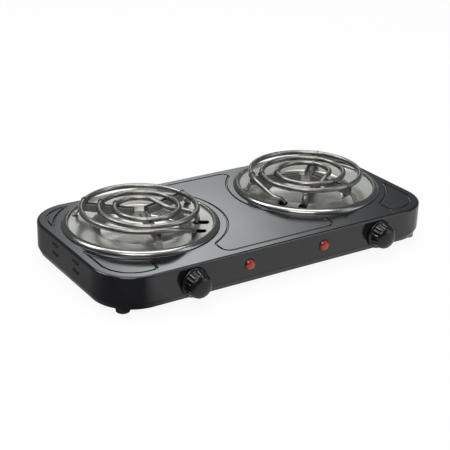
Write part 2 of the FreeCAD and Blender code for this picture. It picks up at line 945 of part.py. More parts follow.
def element_support(side):
    floor_z = plate_z + support_floor_rise
    hub = cyl_z(support_hub_radius, 0, 0, floor_z, floor_z + support_sheet)
    for degrees in support_angles:
        hub = hub.fuse(support_leg(degrees + support_turns[side]))
    hub = hub.cut(cyl_z(support_hub_hole, 0, 0, floor_z - over, coil_z))
    hub = hub.cut(rod_along(coil_edges(), tube_radius + notch_clearance))
    pieces = sorted(hub.Solids, key=lambda s: s.Volume)
    return at_burner(pieces[-1].removeSplitter(), side)


def cyl_u(radius, u0, u1, v):
    """Cylinder along a tube's end, at the hinge's height."""
    return Part.makeCylinder(radius, u1 - u0, vec(u0, v, hinge_z), vec(1, 0, 0))


def end_seal(v):
    end = tube_end_reach + seal_length
    ring = cyl_u(seal_radius, tube_end_reach, end, v)
    return ring.cut(cyl_u(cold_pin_radius, tube_end_reach, end, v))


def cyl_v(radius, u, z, v0, v1):
    low, high = min(v0, v1), max(v0, v1)
    return cyl_y(radius, u, z, low, high)


def cold_pin(sign):
    """Terminal pin that ends in a flat tab, threaded for the screw on the hinge's axis."""
    v = sign * leg_spread
    tab_start = tube_end_reach + seal_length + pin_shoulder
    pin = cyl_u(cold_pin_radius, tube_end_reach, tab_start + pin_shoulder, v)
    tab = box(
        tab_start, hinge_reach, v - tab_sheet / 2, v + tab_sheet / 2,
        hinge_z - tab_half, hinge_z + tab_half,
    )
    face = v - sign * tab_sheet / 2
    tab = tab.fuse(cyl_v(tab_half, hinge_reach, hinge_z, v - tab_sheet / 2, v + tab_sheet / 2))
    nut = face - sign * tab_nut_height
    tab = tab.fuse(cyl_v(tab_half - tab_nut_step, hinge_reach, hinge_z, face, nut))
    far = tab_sheet + tab_nut_height
    bore = cyl_v(terminal_screw_radius + thread_gap, hinge_reach, hinge_z, v - far, v + far)
    return pin.fuse(tab).cut(bore).removeSplitter()


def terminal_screw(sign):
    inner = sign * (leg_spread - tab_sheet / 2 - tab_nut_height)
    head = sign * (lug_v + lug_sheet + slip_gap)
    shank = cyl_v(terminal_screw_radius, hinge_reach, hinge_z, inner, head)
    top = head + sign * terminal_screw_head_height
    cap = cyl_v(terminal_screw_head, hinge_reach, hinge_z, head, top)
    v0, v1 = sorted((top, top - sign * slot_cut_depth))
    slot = box(
        hinge_reach - terminal_screw_head, hinge_reach + terminal_screw_head, v0, v1,
        hinge_z - slot_cut_half, hinge_z + slot_cut_half,
    )
    return shank.fuse(cap.cut(slot))


def ear(v0, v1, u_start, z_low, z_high):
    """Flat ear across the hinge's axis, round about it, with the pin's hole."""
    plate = box(u_start, hinge_reach, v0, v1, z_low, z_high)
    plate = plate.fuse(cyl_y(hinge_ear_half, hinge_reach, hinge_z, v0, v1))
    return plate


def pin_bore():
    far = 2 * leg_spread
    return cyl_y(hinge_pin_radius + hinge_clearance, hinge_reach, hinge_z, -far, far)


def element_saddle(side):
    """Cradle brazed under both tube ends, with the two ears that turn on the hinge pin."""
    top = hinge_z - tube_radius + saddle_wrap
    low = top - saddle_sheet
    half = leg_spread + tube_radius
    plate = box(saddle_start, saddle_end, -half, half, low, top)
    for sign in (-1, 1):
        v0, v1 = sorted((sign * saddle_ear_inner, sign * (saddle_ear_inner + hinge_sheet)))
        plate = plate.fuse(ear(v0, v1, saddle_start, low, hinge_z + hinge_ear_half - ear_drop))
    plate = plate.cut(pin_bore())
    plate = plate.cut(rod_along(coil_edges(), tube_radius + braze_gap))
    return at_burner(plate.removeSplitter(), side)


def hinge_bracket(side):
    """Channel welded under the hob plate, with the two fixed ears."""
    outer = hinge_ear_inner + hinge_sheet
    flange = box(
        pan_opening_radius + hinge_pan_gap, hinge_reach + hinge_foot, -outer, outer,
        ceiling_z - hinge_sheet, ceiling_z,
    )
    for sign in (-1, 1):
        v0, v1 = sorted((sign * hinge_ear_inner, sign * outer))
        plate = box(
            hinge_reach - hinge_ear_half, hinge_reach + hinge_ear_half, v0, v1, hinge_z, ceiling_z
        )
        plate = plate.fuse(cyl_y(hinge_ear_half, hinge_reach, hinge_z, v0, v1))
        flange = flange.fuse(plate)
    return at_burner(flange.cut(pin_bore()).removeSplitter(), side)


def hinge_pin(side):
    outer = hinge_ear_inner + hinge_sheet + slip_gap
    pin = cyl_y(hinge_pin_radius, hinge_reach, hinge_z, -outer, outer)
    for sign in (-1, 1):
        v0, v1 = sorted((sign * outer, sign * (outer + pin_head)))
        pin = pin.fuse(cyl_y(hinge_pin_radius + pin_head, hinge_reach, hinge_z, v0, v1))
    return at_burner(pin, side)


# ================================================================ controls
def at_knob(shape, side):
    """Place a shape made about a shaft's axis, with +X towards the middle of the casing."""
    if side == "right":
        shape = shape.mirror(ORIGIN, vec(1, 0, 0))
    return moved(shape, x=KNOBS[side], z=knob_z)


def d_bar(radius, y0, y1, gap):
    """Round bar along Y with one flat above its axis."""
    bar = cyl_y(radius, 0, 0, y0, y1)
    far = 2 * radius
    return bar.cut(box(-far, far, y0 - over, y1 + over, shaft_flat + gap, far))


def knob_blank():
    """Outside of a knob: round flange, tapered grip and low dome."""
    grip_back = knob_back - knob_flange_thickness
    dome_start = knob_nose + knob_dome
    profile = [
        vec(0, knob_back, 0),
        vec(knob_flange_radius, knob_back, 0),
        vec(knob_flange_radius, knob_back - knob_flange_edge, 0),
        vec(knob_grip_radius, grip_back, 0),
        vec(knob_nose_radius, dome_start, 0),
    ]
    edges = [Part.makeLine(a, b) for a, b in zip(profile, profile[1:])]
    tip = vec(0, knob_nose, 0)
    dome_radius = (knob_nose_radius**2 + knob_dome**2) / (2 * knob_dome)
    half_reach = knob_nose_radius / 2
    sag = dome_radius - math.sqrt(dome_radius**2 - half_reach**2)
    edges.append(Part.Arc(profile[-1], vec(half_reach, knob_nose + sag, 0), tip).toShape())
    edges.append(Part.makeLine(tip, profile[0]))
    body = Part.Face(Part.Wire(edges)).revolve(ORIGIN, vec(0, 1, 0), 360)
    shoulder = [e for e in body.Edges if abs(e.BoundBox.YMin - dome_start) < 0.01]
    body = body.makeFillet(knob_shoulder, [e for e in shoulder if e.BoundBox.YLength < 0.01])
    for i in range(knob_flutes):
        a = 2 * math.pi * (i + 0.5) / knob_flutes
        out = vec(math.cos(a), 0, math.sin(a))
        start = out * (knob_grip_radius + knob_flute_back)
        start = start + vec(0, grip_back - knob_flute_radius, 0)
        finish = out * (knob_nose_radius + knob_flute_front) + vec(0, knob_nose, 0)
        run = finish - start
        body = body.cut(Part.makeCylinder(knob_flute_radius, run.Length, start, run))
    return body


def knob(side):
    wall = knob_nose_radius - knob_wall
    hollow = cyl_y(wall, 0, 0, knob_nose + knob_dome + knob_wall, knob_back + over)
    core = cyl_y(knob_core_radius, 0, 0, knob_nose + knob_dome, knob_back - knob_core_inset)
    for i in range(3):
        rib = box(
            0, wall + over, knob_nose + knob_dome, knob_back - knob_rib_inset,
            -knob_rib_half, knob_rib_half,
        )
        rib.rotate(ORIGIN, vec(0, 1, 0), 120.0 * i)
        core = core.fuse(rib)
    body = knob_blank().cut(hollow.cut(core))
    gap = shaft_clearance
    body = body.cut(d_bar(shaft_radius + gap, shaft_tip - clip_gap, knob_back + over, gap))
    pocket = box(
        -clip_half - clip_gap, clip_half + clip_gap, knob_back - clip_length - clip_gap, knob_back,
        -knob_core_radius + pocket_wall, -shaft_radius + pocket_wall,
    )
    body = body.cut(pocket)
    index = box(
        -knob_index_half, knob_index_half, knob_back - knob_flange_thickness, knob_back + over,
        knob_flange_radius - knob_index_depth, knob_flange_radius + over,
    )
    return at_knob(body.cut(index).removeSplitter(), side)


def knob_clip(side):
    """Bent leaf spring in the knob's core, which presses the shaft against its flat."""
    start = knob_back - clip_length
    low = -shaft_radius - clip_seat
    points = [
        (start, low),
        (start + clip_length / 2, low + clip_rise),
        (knob_back - clip_tail, low),
    ]
    leaf = across(sheet_section(points, [clip_bend], clip_leaf), 2 * clip_half)
    leaf.rotate(ORIGIN, Z, 90)
    return at_knob(leaf, side)


def thermostat_shaft(side):
    inner = panel_inner_y + bushing_length
    collar_start = inner + collar_gap
    collar_end = collar_start + collar_length
    shaft = cyl_y(shaft_radius, 0, 0, knob_back, collar_end)
    shaft = shaft.fuse(d_bar(shaft_radius, shaft_tip, knob_back, 0))
    shaft = shaft.fuse(cyl_y(collar_radius, 0, 0, collar_start, collar_end))
    return at_knob(shaft.removeSplitter(), side)


def stack_levels():
    """Y of the faces between the parts of the switch stack, from the bracket inwards."""
    y = panel_inner_y + bracket_sheet
    levels = [y]
    for thickness in (first_disc, blade_sheet, stack_disc, blade_sheet, stack_disc):
        y += thickness
        levels.append(y)
    return levels


def rivet_bore(y0, y1):
    return cyl_y(rivet_radius + thread_gap, stack_offset, 0, y0, y1)


def thermostat_bracket(side):
    y0 = panel_inner_y
    y1 = y0 + bracket_sheet
    end = stack_offset + stack_radius + bracket_margin
    half = bracket_half_height
    bushing_end = y0 + bushing_length
    plate = box(-bracket_short_side, end, y0, y1, -half, half)
    plate = plate.fuse(cyl_y(bushing_radius, 0, 0, front_y + bushing_sink, bushing_end))
    plate = plate.cut(cyl_y(shaft_radius + shaft_clearance, 0, 0, front_y, bushing_end + over))
    for dx in (-mount_screw_offset, mount_screw_offset):
        plate = plate.cut(cyl_y(mount_screw_radius + thread_gap, dx, 0, y0 - over, y1 + over))
    return at_knob(plate.cut(rivet_bore(y0 - over, y1 + over)).removeSplitter(), side)


def stack_rivet(side):
    low, high = panel_inner_y + collar_gap, stack_levels()[-1]
    rivet = cyl_y(rivet_radius, stack_offset, 0, low, high)
    head = cyl_y(2 * rivet_radius, stack_offset, 0, high, high + rivet_head_height)
    return at_knob(rivet.fuse(head), side)


def stack_discs(side):
    """Ceramic discs that hold the blades apart."""
    levels = stack_levels()
    discs = []
    for a in (0, 2, 4):
        disc = cyl_y(stack_radius, stack_offset, 0, levels[a], levels[a + 1])
        disc = disc.cut(rivet_bore(levels[a] - over, levels[a + 1] + over))
        discs.append(at_knob(disc, side))
    return discs


def stack_blade(level, tab_shifts):
    """Blade clamped in the stack: it reaches over the shaft and ends in tabs for the leads."""
    y0, y1 = stack_levels()[level], stack_levels()[level + 1]
    stop = stack_offset + stack_radius
    root = stop + tab_root
    blade = box(-blade_overhang, root, y0, y1, -blade_half, blade_half)
    for shift in tab_shifts:
        low, high = shift - tab_blade_half, shift + tab_blade_half
        blade = blade.fuse(box(root - over, stop + tab_length, y0, y1, low, high))
    reach = max(tab_shifts) + tab_blade_half
    blade = blade.fuse(box(root - tab_bar, root, y0, y1, -reach, reach))
    return blade.cut(rivet_bore(y0 - over, y1 + over))


def bimetal_blade(side):
    blade = stack_blade(1, [0.0])
    tip = panel_inner_y + bushing_length + collar_gap + collar_length + button_gap
    button = cyl_y(button_radius, 0, 0, tip, stack_levels()[2])
    return at_knob(blade.fuse(button).removeSplitter(), side)


def contact_blade(side):
    blade = stack_blade(3, [-tab_shift, tab_shift])
    y0, y1 = stack_levels()[3], stack_levels()[4]
    x = contact_inset - blade_overhang
    contact = cyl_y(contact_radius, x, 0, y0 - contact_height, y1)
    return at_knob(blade.fuse(contact).removeSplitter(), side)


def panel_screw(x):
    """Low-headed screw through the front panel into a thermostat bracket."""
    top = front_y - mount_screw_head_height
    head = cyl_y(mount_screw_head, x, knob_z, top, front_y)
    slot = box(
        x - mount_screw_head, x + mount_screw_head, top - over, top + screw_slot_depth,
        knob_z - screw_slot_half, knob_z + screw_slot_half,
    )
    end = panel_inner_y + bracket_sheet + screw_reach
    shank = cyl_y(mount_screw_radius, x, knob_z, front_y, end)
    return head.cut(slot).fuse(shank)


def lamp_lens(side):
    x = LAMPS[side]
    rim = lamp_dome_radius
    cap = lamp_dome_height - lamp_rim
    neck_end = front_y + lamp_neck_length
    sphere_radius = (rim**2 + cap**2) / (2 * cap)
    centre_y = front_y - lamp_dome_height + sphere_radius
    dome = Part.makeSphere(sphere_radius, vec(x, centre_y, lamp_z))
    dome = dome.common(cyl_y(rim, x, lamp_z, front_y - 2 * lamp_dome_height, front_y - lamp_rim))
    dome = dome.fuse(cyl_y(rim, x, lamp_z, front_y - lamp_rim, front_y))
    dome = dome.fuse(cyl_y(lamp_neck_radius, x, lamp_z, front_y, neck_end))
    bore = cyl_y(lamp_bore_radius, x, lamp_z, front_y - lamp_bore_start, neck_end + over)
    return dome.cut(bore).removeSplitter()


def lamp_bulb(side):
    x = LAMPS[side]
    round_y = bulb_front + bulb_radius
    bulb = cyl_y(bulb_radius, x, lamp_z, round_y, bulb_rear)
    return bulb.fuse(Part.makeSphere(bulb_radius, vec(x, round_y, lamp_z))).removeSplitter()


def lamp_clip(x):
    """Push-on spring ring that holds a lens from inside."""
    clip_collar_radius = lamp_neck_radius + lamp_clip_sheet
    collar_end = panel_inner_y + lamp_clip_collar
    ring = cyl_y(lamp_clip_radius, x, lamp_z, panel_inner_y, panel_inner_y + lamp_clip_sheet)
    collar = cyl_y(clip_collar_radius, x, lamp_z, panel_inner_y, collar_end)
    bore = cyl_y(lamp_neck_radius + thread_gap, x, lamp_z, front_y, collar_end + over)
    return ring.fuse(collar).cut(bore).removeSplitter()


# ================================================================ supply
def cord_gland():
    outer_end = back_y + gland_flange_thickness
    inner_face = back_y - sheet
    flange = cyl_y(gland_flange_radius, 0, gland_z, back_y, outer_end)
    crown = [e for e in flange.Edges if e.BoundBox.YMin > outer_end - 0.01]
    flange = flange.makeFillet(gland_edge_radius, crown)
    neck_end = inner_face - gland_neck_length
    neck = cyl_y(gland_neck_radius, 0, gland_z, neck_end, back_y)
    ring_radius = gland_flange_radius - gland_ring_step
    ring = cyl_y(ring_radius, 0, gland_z, inner_face - gland_ring_length, inner_face)
    bore = cyl_y(gland_bore_radius, 0, gland_z, neck_end - over, outer_end + over)
    return flange.fuse(neck).fuse(ring).cut(bore).removeSplitter()


def pole_places():
    return [(i - (block_poles - 1) / 2) * block_pole_pitch for i in range(block_poles)]


def terminal_block():
    half = block_poles * block_pole_pitch / 2 + block_end_wall
    top = base_top + block_height
    block = box(-half, half, block_y - block_depth / 2, block_y + block_depth / 2, base_top, top)
    upright = [e for e in block.Edges if abs(e.tangentAt(e.FirstParameter).z) > 0.9]
    block = block.makeFillet(block_corner, upright)
    for x in pole_places():
        bore = cyl_y(block_pole_radius, x, pole_z, block_y - block_depth, block_y + block_depth)
        block = block.cut(bore)
        for dy in (-block_screw_half_pitch, block_screw_half_pitch):
            hole = block_screw_radius + screw_clearance
            block = block.cut(cyl_z(hole, x, block_y + dy, pole_z, top + over))
    for x in (-block_pole_pitch, block_pole_pitch):
        hole = mount_screw_radius + screw_clearance
        block = block.cut(cyl_z(hole, x, block_y, base_top - over, top + over))
    return block


def block_sleeve(x):
    """Brass sleeve in the block, which two screws clamp the conductors in."""
    half = block_depth / 2 - block_sleeve_inset
    sleeve = cyl_y(block_pole_radius - thread_gap, x, pole_z, block_y - half, block_y + half)
    wire_bore = wire_radius + wire_gap
    sleeve = sleeve.cut(cyl_y(wire_bore, x, pole_z, block_y - block_depth, block_y + block_depth))
    for dy in (-block_screw_half_pitch, block_screw_half_pitch):
        hole = block_screw_shank + thread_gap
        sleeve = sleeve.cut(cyl_z(hole, x, block_y + dy, pole_z, pole_z + block_height))
    return sleeve


def block_screw(x, dy):
    y = block_y + dy
    top = base_top + block_height - block_screw_sink
    head_low = top - block_screw_head_height
    screw = cyl_z(block_screw_shank, x, y, pole_z + wire_radius + clamp_gap, head_low)
    head = cyl_z(block_screw_radius, x, y, head_low, top)
    slot = box(
        x - 2 * block_screw_radius, x + 2 * block_screw_radius, y - screw_slot_half,
        y + screw_slot_half, top - slot_cut_depth, top + over,
    )
    return screw.fuse(head.cut(slot))


def block_mount_screw(x):
    top = base_top + block_height
    head_top = top + block_mount_head_height
    shank = cyl_z(mount_screw_radius - thread_gap, x, block_y, base_bottom - block_mount_tail, top)
    head = cyl_z(mount_screw_head, x, block_y, top, head_top)
    return shank.fuse(head.cut(cross_recess(x, block_y, head_top - cross_depth, head_top + over)))


def earth_screw():
    low = base_bottom - earth_overlap
    nut_low = base_top + earth_nut_rise
    shank = cyl_z(mount_screw_radius - thread_gap, earth_x, earth_y, low, base_top + earth_tail)
    nut = cyl_z(earth_nut_radius, earth_x, earth_y, nut_low, nut_low + earth_nut_height)
    head_low = base_bottom - earth_head_height
    head = cyl_z(earth_head_radius, earth_x, earth_y, head_low, base_bottom)
    return shank.fuse(nut).fuse(head).removeSplitter()


# ================================================================ leads
def mid_side(side):
    return -1 if side == "left" else 1


def outer_sign(side):
    """Sign of v at the terminal that lies further from the middle of the casing."""
    return -1 if side == "left" else 1


def lead(points, radii, radius=wire_radius):
    return rod_along(path_edges(points, radii), radius)


def spade(side, level, shift):
    """Push-on terminal over one of the tabs of a thermostat."""
    y = (stack_levels()[level] + stack_levels()[level + 1]) / 2
    stop = stack_offset + stack_radius
    end = stop + tab_length
    tail = end + spade_overhang
    body = box(
        stop + spade_start, tail, y - spade_half_height, y + spade_half_height,
        shift - spade_half, shift + spade_half,
    )
    half_sheet = blade_sheet / 2 + thread_gap
    half_tab = tab_blade_half + thread_gap
    slot = box(
        stop, end + thread_gap, y - half_sheet, y + half_sheet, shift - half_tab, shift + half_tab
    )
    start = vec(KNOBS[side] - mid_side(side) * tail, y, knob_z + shift)
    return at_knob(body.cut(slot), side), start


def ring_lug(side, sign):
    """Ring terminal under a terminal screw, with a stem that the lead is crimped to."""
    v0, v1 = sorted((sign * lug_v, sign * (lug_v + lug_sheet)))
    ring = cyl_y(lug_radius, hinge_reach, hinge_z, v0, v1)
    low = hinge_z - lug_stem
    stem = box(hinge_reach - lug_stem_half, hinge_reach + lug_stem_half, v0, v1, low, hinge_z)
    hole = terminal_screw_radius + lug_hole_gap
    ring = ring.fuse(stem).cut(cyl_y(hole, hinge_reach, hinge_z, v0 - over, v1 + over))
    start = burner_point(side, hinge_reach, (v0 + v1) / 2, low + crimp)
    return at_burner(ring, side), start


def pole_entry(side, order):
    x = mid_side(side) * (order + 0.5) * block_pole_pitch
    return x, [
        vec(x, block_y - entry_start, floor_lane),
        vec(x, block_y - entry_end, pole_z),
        vec(x, block_y, pole_z),
    ]


def live_lead(side):
    """From the terminal block along the floor to the thermostat's bimetal blade."""
    lug, start = spade(side, 1, 0.0)
    m = mid_side(side)
    x, entry = pole_entry(side, 2)
    drop_x = start.x - m * live_exit
    points = [
        start,
        vec(drop_x, start.y, start.z),
        vec(drop_x, front_lane, floor_lane),
        vec(x, front_lane, floor_lane),
    ]
    return lug.fuse(lead(points + entry, [3.0, 3.0, 5.0, 4.0, 4.0]))


def switched_lead(side):
    """From the thermostat's contact blade to the element's outer terminal."""
    lug, start = spade(side, 3, -tab_shift)
    m = mid_side(side)
    ring, stem = ring_lug(side, outer_sign(side))
    points = [
        start,
        vec(start.x - m * switched_exit, start.y, start.z),
        vec(stem.x, stem.y - switched_run, low_lane),
        vec(stem.x, stem.y, low_lane),
        stem,
    ]
    return lug.fuse(lead(points, [5.0, 8.0, 3.0])).fuse(ring)


def neutral_lead(side):
    """From the element's inner terminal to the terminal block."""
    ring, stem = ring_lug(side, -outer_sign(side))
    x, entry = pole_entry(side, 0)
    points = [
        stem,
        vec(stem.x, stem.y, low_lane),
        vec(x, block_y - neutral_turn_run, low_lane),
        vec(x, block_y - neutral_drop_run, floor_lane),
    ]
    return ring.fuse(lead(points + entry, [3.0, 6.0, 8.0, 4.0, 4.0]))


def lamp_live_lead(side):
    lug, start = spade(side, 3, tab_shift)
    m = mid_side(side)
    x, z = LAMPS[side], lamp_z + bulb_wire_offset
    turn_y = bulb_rear + bulb_exit
    points = [
        start,
        vec(start.x - m * lamp_exit, start.y, start.z),
        vec(x + m * bulb_exit, turn_y, start.z),
        vec(x, turn_y, z),
        vec(x, bulb_rear, z),
    ]
    return lug.fuse(lead(points, [6.0, 5.0, 3.0], lamp_wire_radius))


def lamp_neutral_lead(side):
    m = mid_side(side)
    x, z = LAMPS[side], lamp_z - bulb_wire_offset
    pole, entry = pole_entry(side, 1)
    points = [
        vec(x, bulb_rear, z),
        vec(x, bulb_rear + lamp_neutral_exit, z),
        vec(x - m * lamp_neutral_shift, bulb_rear + lamp_neutral_shift, low_lane),
        vec(pole, bulb_rear + lamp_neutral_run, low_lane),
        vec(pole, bulb_rear + lamp_neutral_drop, floor_lane),
    ]
    return lead(points + entry, [5.0, 4.0, 6.0, 8.0, 4.0, 4.0], lamp_wire_radius)


# ================================================================ write the pieces
os.makedirs("parts", exist_ok=True)
SIDES = ("left", "right")
save("top_housing", top_housing())
save("base_plate", base_plate())
save("rubber_feet", *[rubber_foot(x, y) for x, y in foot_places()])
save("foot_screws", *[foot_screw(x, y) for x, y in foot_places()])
save("corner_posts", *[corner_post(x, y) for x, y in foot_places()])
for side in SIDES:
    save(side + "_drip_pan", drip_pan(side))
    save(side + "_pan_strap", pan_strap(side))
    save(side + "_element_tube", element_tube(side))
    save(side + "_element_support", element_support(side))
    save(side + "_end_seals", *[at_burner(end_seal(v), side) for v in (-leg_spread, leg_spread)])
    save(side + "_terminal_pins", *[at_burner(cold_pin(sign), side) for sign in (-1, 1)])
    save(side + "_element_saddle", element_saddle(side))
    save(side + "_hinge_bracket", hinge_bracket(side))
    save(side + "_hinge_pin", hinge_pin(side))
    save(side + "_knob", knob(side))
    save(side + "_knob_clip", knob_clip(side))
    save(side + "_thermostat_bracket", thermostat_bracket(side))
    save(side + "_thermostat_shaft", thermostat_shaft(side))
    save(side + "_stack_discs", *stack_discs(side))
    save(side + "_bimetal_blade", bimetal_blade(side))
    save(side + "_contact_blade", contact_blade(side))
    save(side + "_lamp_lens", lamp_lens(side))
    save(side + "_lamp_bulb", lamp_bulb(side))
save("pan_screws", *[pan_screw(side) for side in SIDES])
save("terminal_screws", *[at_burner(terminal_screw(n), side) for side in SIDES for n in (-1, 1)])
save("stack_rivets", *[stack_rivet(side) for side in SIDES])
save("panel_screws", *[panel_screw(x + dx) for x in KNOBS.values()
                       for dx in (-mount_screw_offset, mount_screw_offset)])
save("lamp_clips", *[lamp_clip(x) for x in LAMPS.values()])
save("cord_gland", cord_gland())
save("terminal_block", terminal_block())
save("block_sleeves", *[block_sleeve(x) for x in pole_places()])
save("block_screws", *[block_screw(x, dy) for x in pole_places()
                       for dy in (-block_screw_half_pitch, block_screw_half_pitch)])
save("block_mount_screws", *[block_mount_screw(x) for x in (-block_pole_pitch, block_pole_pitch)])
save("earth_screw", earth_screw())
save("live_leads", *[live_lead(side) for side in SIDES])
save("switched_leads", *[switched_lead(side) for side in SIDES])
save("neutral_leads", *[neutral_lead(side) for side in SIDES])
save("lamp_live_leads", *[lamp_live_lead(side) for side in SIDES])
save("lamp_neutral_leads", *[lamp_neutral_lead(side) for side in SIDES])
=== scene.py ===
import json
import math

import bmesh
import bpy
from mathutils import Matrix, Vector

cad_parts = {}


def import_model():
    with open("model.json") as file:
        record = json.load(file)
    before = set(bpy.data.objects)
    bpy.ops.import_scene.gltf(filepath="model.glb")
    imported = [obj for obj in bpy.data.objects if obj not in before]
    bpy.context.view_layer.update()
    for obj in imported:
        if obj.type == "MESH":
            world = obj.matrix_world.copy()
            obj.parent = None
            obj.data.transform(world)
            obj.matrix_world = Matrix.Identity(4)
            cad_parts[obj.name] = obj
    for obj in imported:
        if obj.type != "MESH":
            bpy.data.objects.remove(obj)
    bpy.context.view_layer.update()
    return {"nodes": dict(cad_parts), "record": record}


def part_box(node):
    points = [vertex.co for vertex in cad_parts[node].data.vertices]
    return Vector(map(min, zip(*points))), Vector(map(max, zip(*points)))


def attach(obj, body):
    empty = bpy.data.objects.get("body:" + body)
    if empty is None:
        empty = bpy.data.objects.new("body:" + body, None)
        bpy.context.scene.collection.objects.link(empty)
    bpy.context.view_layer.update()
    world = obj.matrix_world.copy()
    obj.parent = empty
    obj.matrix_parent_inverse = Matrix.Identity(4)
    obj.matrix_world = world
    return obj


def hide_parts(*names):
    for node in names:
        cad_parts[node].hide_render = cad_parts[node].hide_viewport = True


bl_info = {
    "name": "Twin Spiral Hot Plate",
    "version": (1, 0, 0),
    "blender": (4, 5, 0),
    "location": "View3D > Sidebar > Hot Plate",
    "description": "Builds the visible surfaces of a table-top cooker with two spiral elements",
    "category": "Object",
}

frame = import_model()
MM = 0.001
SIDES = ("left", "right")
CASING = ("top_housing", "base_plate", "cord_gland", "panel_screws", "foot_screws")
PAN_PIECES = ("_drip_pan", "_pan_strap")
ELEMENT_PIECES = ("_element_tube", "_element_support", "_element_saddle", "_end_seals")
# Glows on the studio wall: azimuth, elevation and spread in degrees, then strength
GLOWS = (
    (31.5, 27.0, 6.4, 4.2),
    (130.0, 47.0, 6.0, 9.0),
    (139.0, 10.0, 16.0, 2.2),
    (325.0, 54.0, 9.0, 14.0),
    (225.0, 35.0, 8.0, 3.0),
)
# Strength of the wall away from the glows, and of the soft light from all round
WALL_BASE = 0.2
SKY_LIGHT = 0.55
# Lamps: name, place in metres, width and height in metres, watts
LAMPS = (
    ("key_lamp", (-1.2, -1.4, 2.2), 1.6, 1.2, 30),
    ("top_lamp", (0.2, 0.5, 2.4), 1.8, 1.2, 25),
)
# How bright mirrors see the floor: two levels and the metres between which one goes over into
# the other, along X at the left end, along Y beside that end, and along Y under the front edge
SHADE_END = (0.15, 1.0, -0.19, -0.145)
SHADE_SIDE = (0.15, 0.45, -0.095, 0.03)
SHADE_FRONT = (1.0, 0.7, -0.13, -0.12)
# Share of plain white that the camera sees in the floor, and its depth under the feet in mm
FLOOR_WHITE = 0.92
FLOOR_DROP = 0.5
# Camera: azimuth off the front, elevation and roll in degrees, lens in mm, lengths in metres
CAMERA_TURN = (-33.79, 23.71, 1.78)
CAMERA_LENS = 91.4048
CAMERA_SENSOR = 36.0
CAMERA_DISTANCE = 1.4202
CAMERA_SHIFT = (0.01077, 0.01536)
TARGET_BACK = 0.0086
TARGET_DROP = 0.007
# Subdivision levels of the turned pieces, and how close two of their corners are one, in mm
SMOOTHING = 2
WELD = 0.01
# Steps round a turned lens or foot, and round the studio wall
ROUND_STEPS = 32
WALL_STEPS = 96
# Sockets that share their names in a Mix node: its numbers, its colours and its colour output
NUMBER_A, NUMBER_B = 2, 3
COLOUR_A, COLOUR_B = 6, 7
COLOUR_OUT = 2


# ---------------------------------------------------------------- sizes and colours
class HotPlateSizes(bpy.types.PropertyGroup):
    """Sizes that only the visible model uses."""

    knob_flutes: bpy.props.IntProperty(
        name="Knob flutes", description="Grooves round the grip of a knob", default=16, min=6
    )
    flute_depth: bpy.props.FloatProperty(
        name="Flute depth",
        description="How far a groove is sunk into the grip",
        default=1.3 * MM,
        unit="LENGTH",
        subtype="DISTANCE",
    )
    wall_distance: bpy.props.FloatProperty(
        name="Wall distance",
        description="Radius of the studio wall round the cooker",
        default=8.0,
        unit="LENGTH",
        subtype="DISTANCE",
    )
    wall_height: bpy.props.FloatProperty(
        name="Wall height",
        description="Top edge of the studio wall",
        default=15.0,
        unit="LENGTH",
        subtype="DISTANCE",
    )


class HotPlateColours(bpy.types.PropertyGroup):
    """Colours of the finishes, as sRGB hex values."""

    enamel: bpy.props.StringProperty(
        name="Enamel", description="Black enamel of the casing", default="121316"
    )
    enamel_thin: bpy.props.StringProperty(
        name="Thin enamel", description="Enamel where its coat is thinner", default="141519"
    )
    chrome: bpy.props.StringProperty(
        name="Chrome", description="Bright plating of the drip pans", default="B8B7AF"
    )
    chrome_warm: bpy.props.StringProperty(
        name="Warmed chrome", description="Plating yellowed a little by heat", default="B0AEA6"
    )
    # Painted shade: a darker copy of the plating for the bead, standing in for the dark
    # reflections along its flank
    chrome_bead_shade: bpy.props.StringProperty(
        name="Chrome bead", description="Plating of the bead, smoked darker", default="939290"
    )
    sheath: bpy.props.StringProperty(
        name="Sheath", description="Oxidised nickel-steel sheath of the elements", default="92918E"
    )
    sheath_tint: bpy.props.StringProperty(
        name="Sheath tint", description="Browner patches of the sheath", default="7C7975"
    )
    support: bpy.props.StringProperty(
        name="Support", description="Stainless sheet of the element supports", default="8C8B88"
    )
    support_tint: bpy.props.StringProperty(
        name="Support tint", description="Supports where heat browned them", default="86827B"
    )
    knob: bpy.props.StringProperty(
        name="Knob", description="Gloss black phenolic of the knobs", default="101012"
    )
    lens: bpy.props.StringProperty(
        name="Lens", description="Red acrylic of the pilot lamps", default="B8352A"
    )
    # Painted shade: a dark red that deepens the lens towards the foot of its dome
    lens_shade: bpy.props.StringProperty(
        name="Lens rim", description="Thicker acrylic at the foot of the dome", default="4A0B0C"
    )
    rubber: bpy.props.StringProperty(
        name="Rubber", description="Moulded rubber of the feet", default="19191B"
    )
    floor: bpy.props.StringProperty(
        name="Floor", description="Plain pale floor", default="FAFAFA"
    )
    wall: bpy.props.StringProperty(
        name="Wall", description="Cool grey studio wall", default="F0F6F8"
    )


def linear(code):
    """Linear colour with alpha from an sRGB hex value."""
    channels = []
    for i in (0, 2, 4):
        c = int(code[i : i + 2], 16) / 255
        channels.append(c / 12.92 if c <= 0.04045 else ((c + 0.055) / 1.055) ** 2.4)
    return (*channels, 1.0)


def sizes():
    """The sizes of this scene."""
    return bpy.context.scene.hot_plate_sizes


def colours():
    """The colours of this scene."""
    return bpy.context.scene.hot_plate_colours


# ---------------------------------------------------------------- materials
def add_node(tree, kind, settings=None, values=None, links=None):
    """Adds one node: settings are its properties, values its sockets, links what feeds them."""
    made = tree.nodes.new(kind)
    for key, value in (settings or {}).items():
        setattr(made, key, value)
    for key, value in (values or {}).items():
        made.inputs[key].default_value = value
    for key, source in (links or {}).items():
        tree.links.new(source, made.inputs[key])
    return made


def new_material(name):
    """An empty node material with its output, ready for a shader."""
    found = bpy.data.materials.get(name)
    if found:
        return found, None, None
    material = bpy.data.materials.new(name)
    material.use_nodes = True
    tree = material.node_tree
    tree.nodes.clear()
    return material, tree, add_node(tree, "ShaderNodeOutputMaterial")


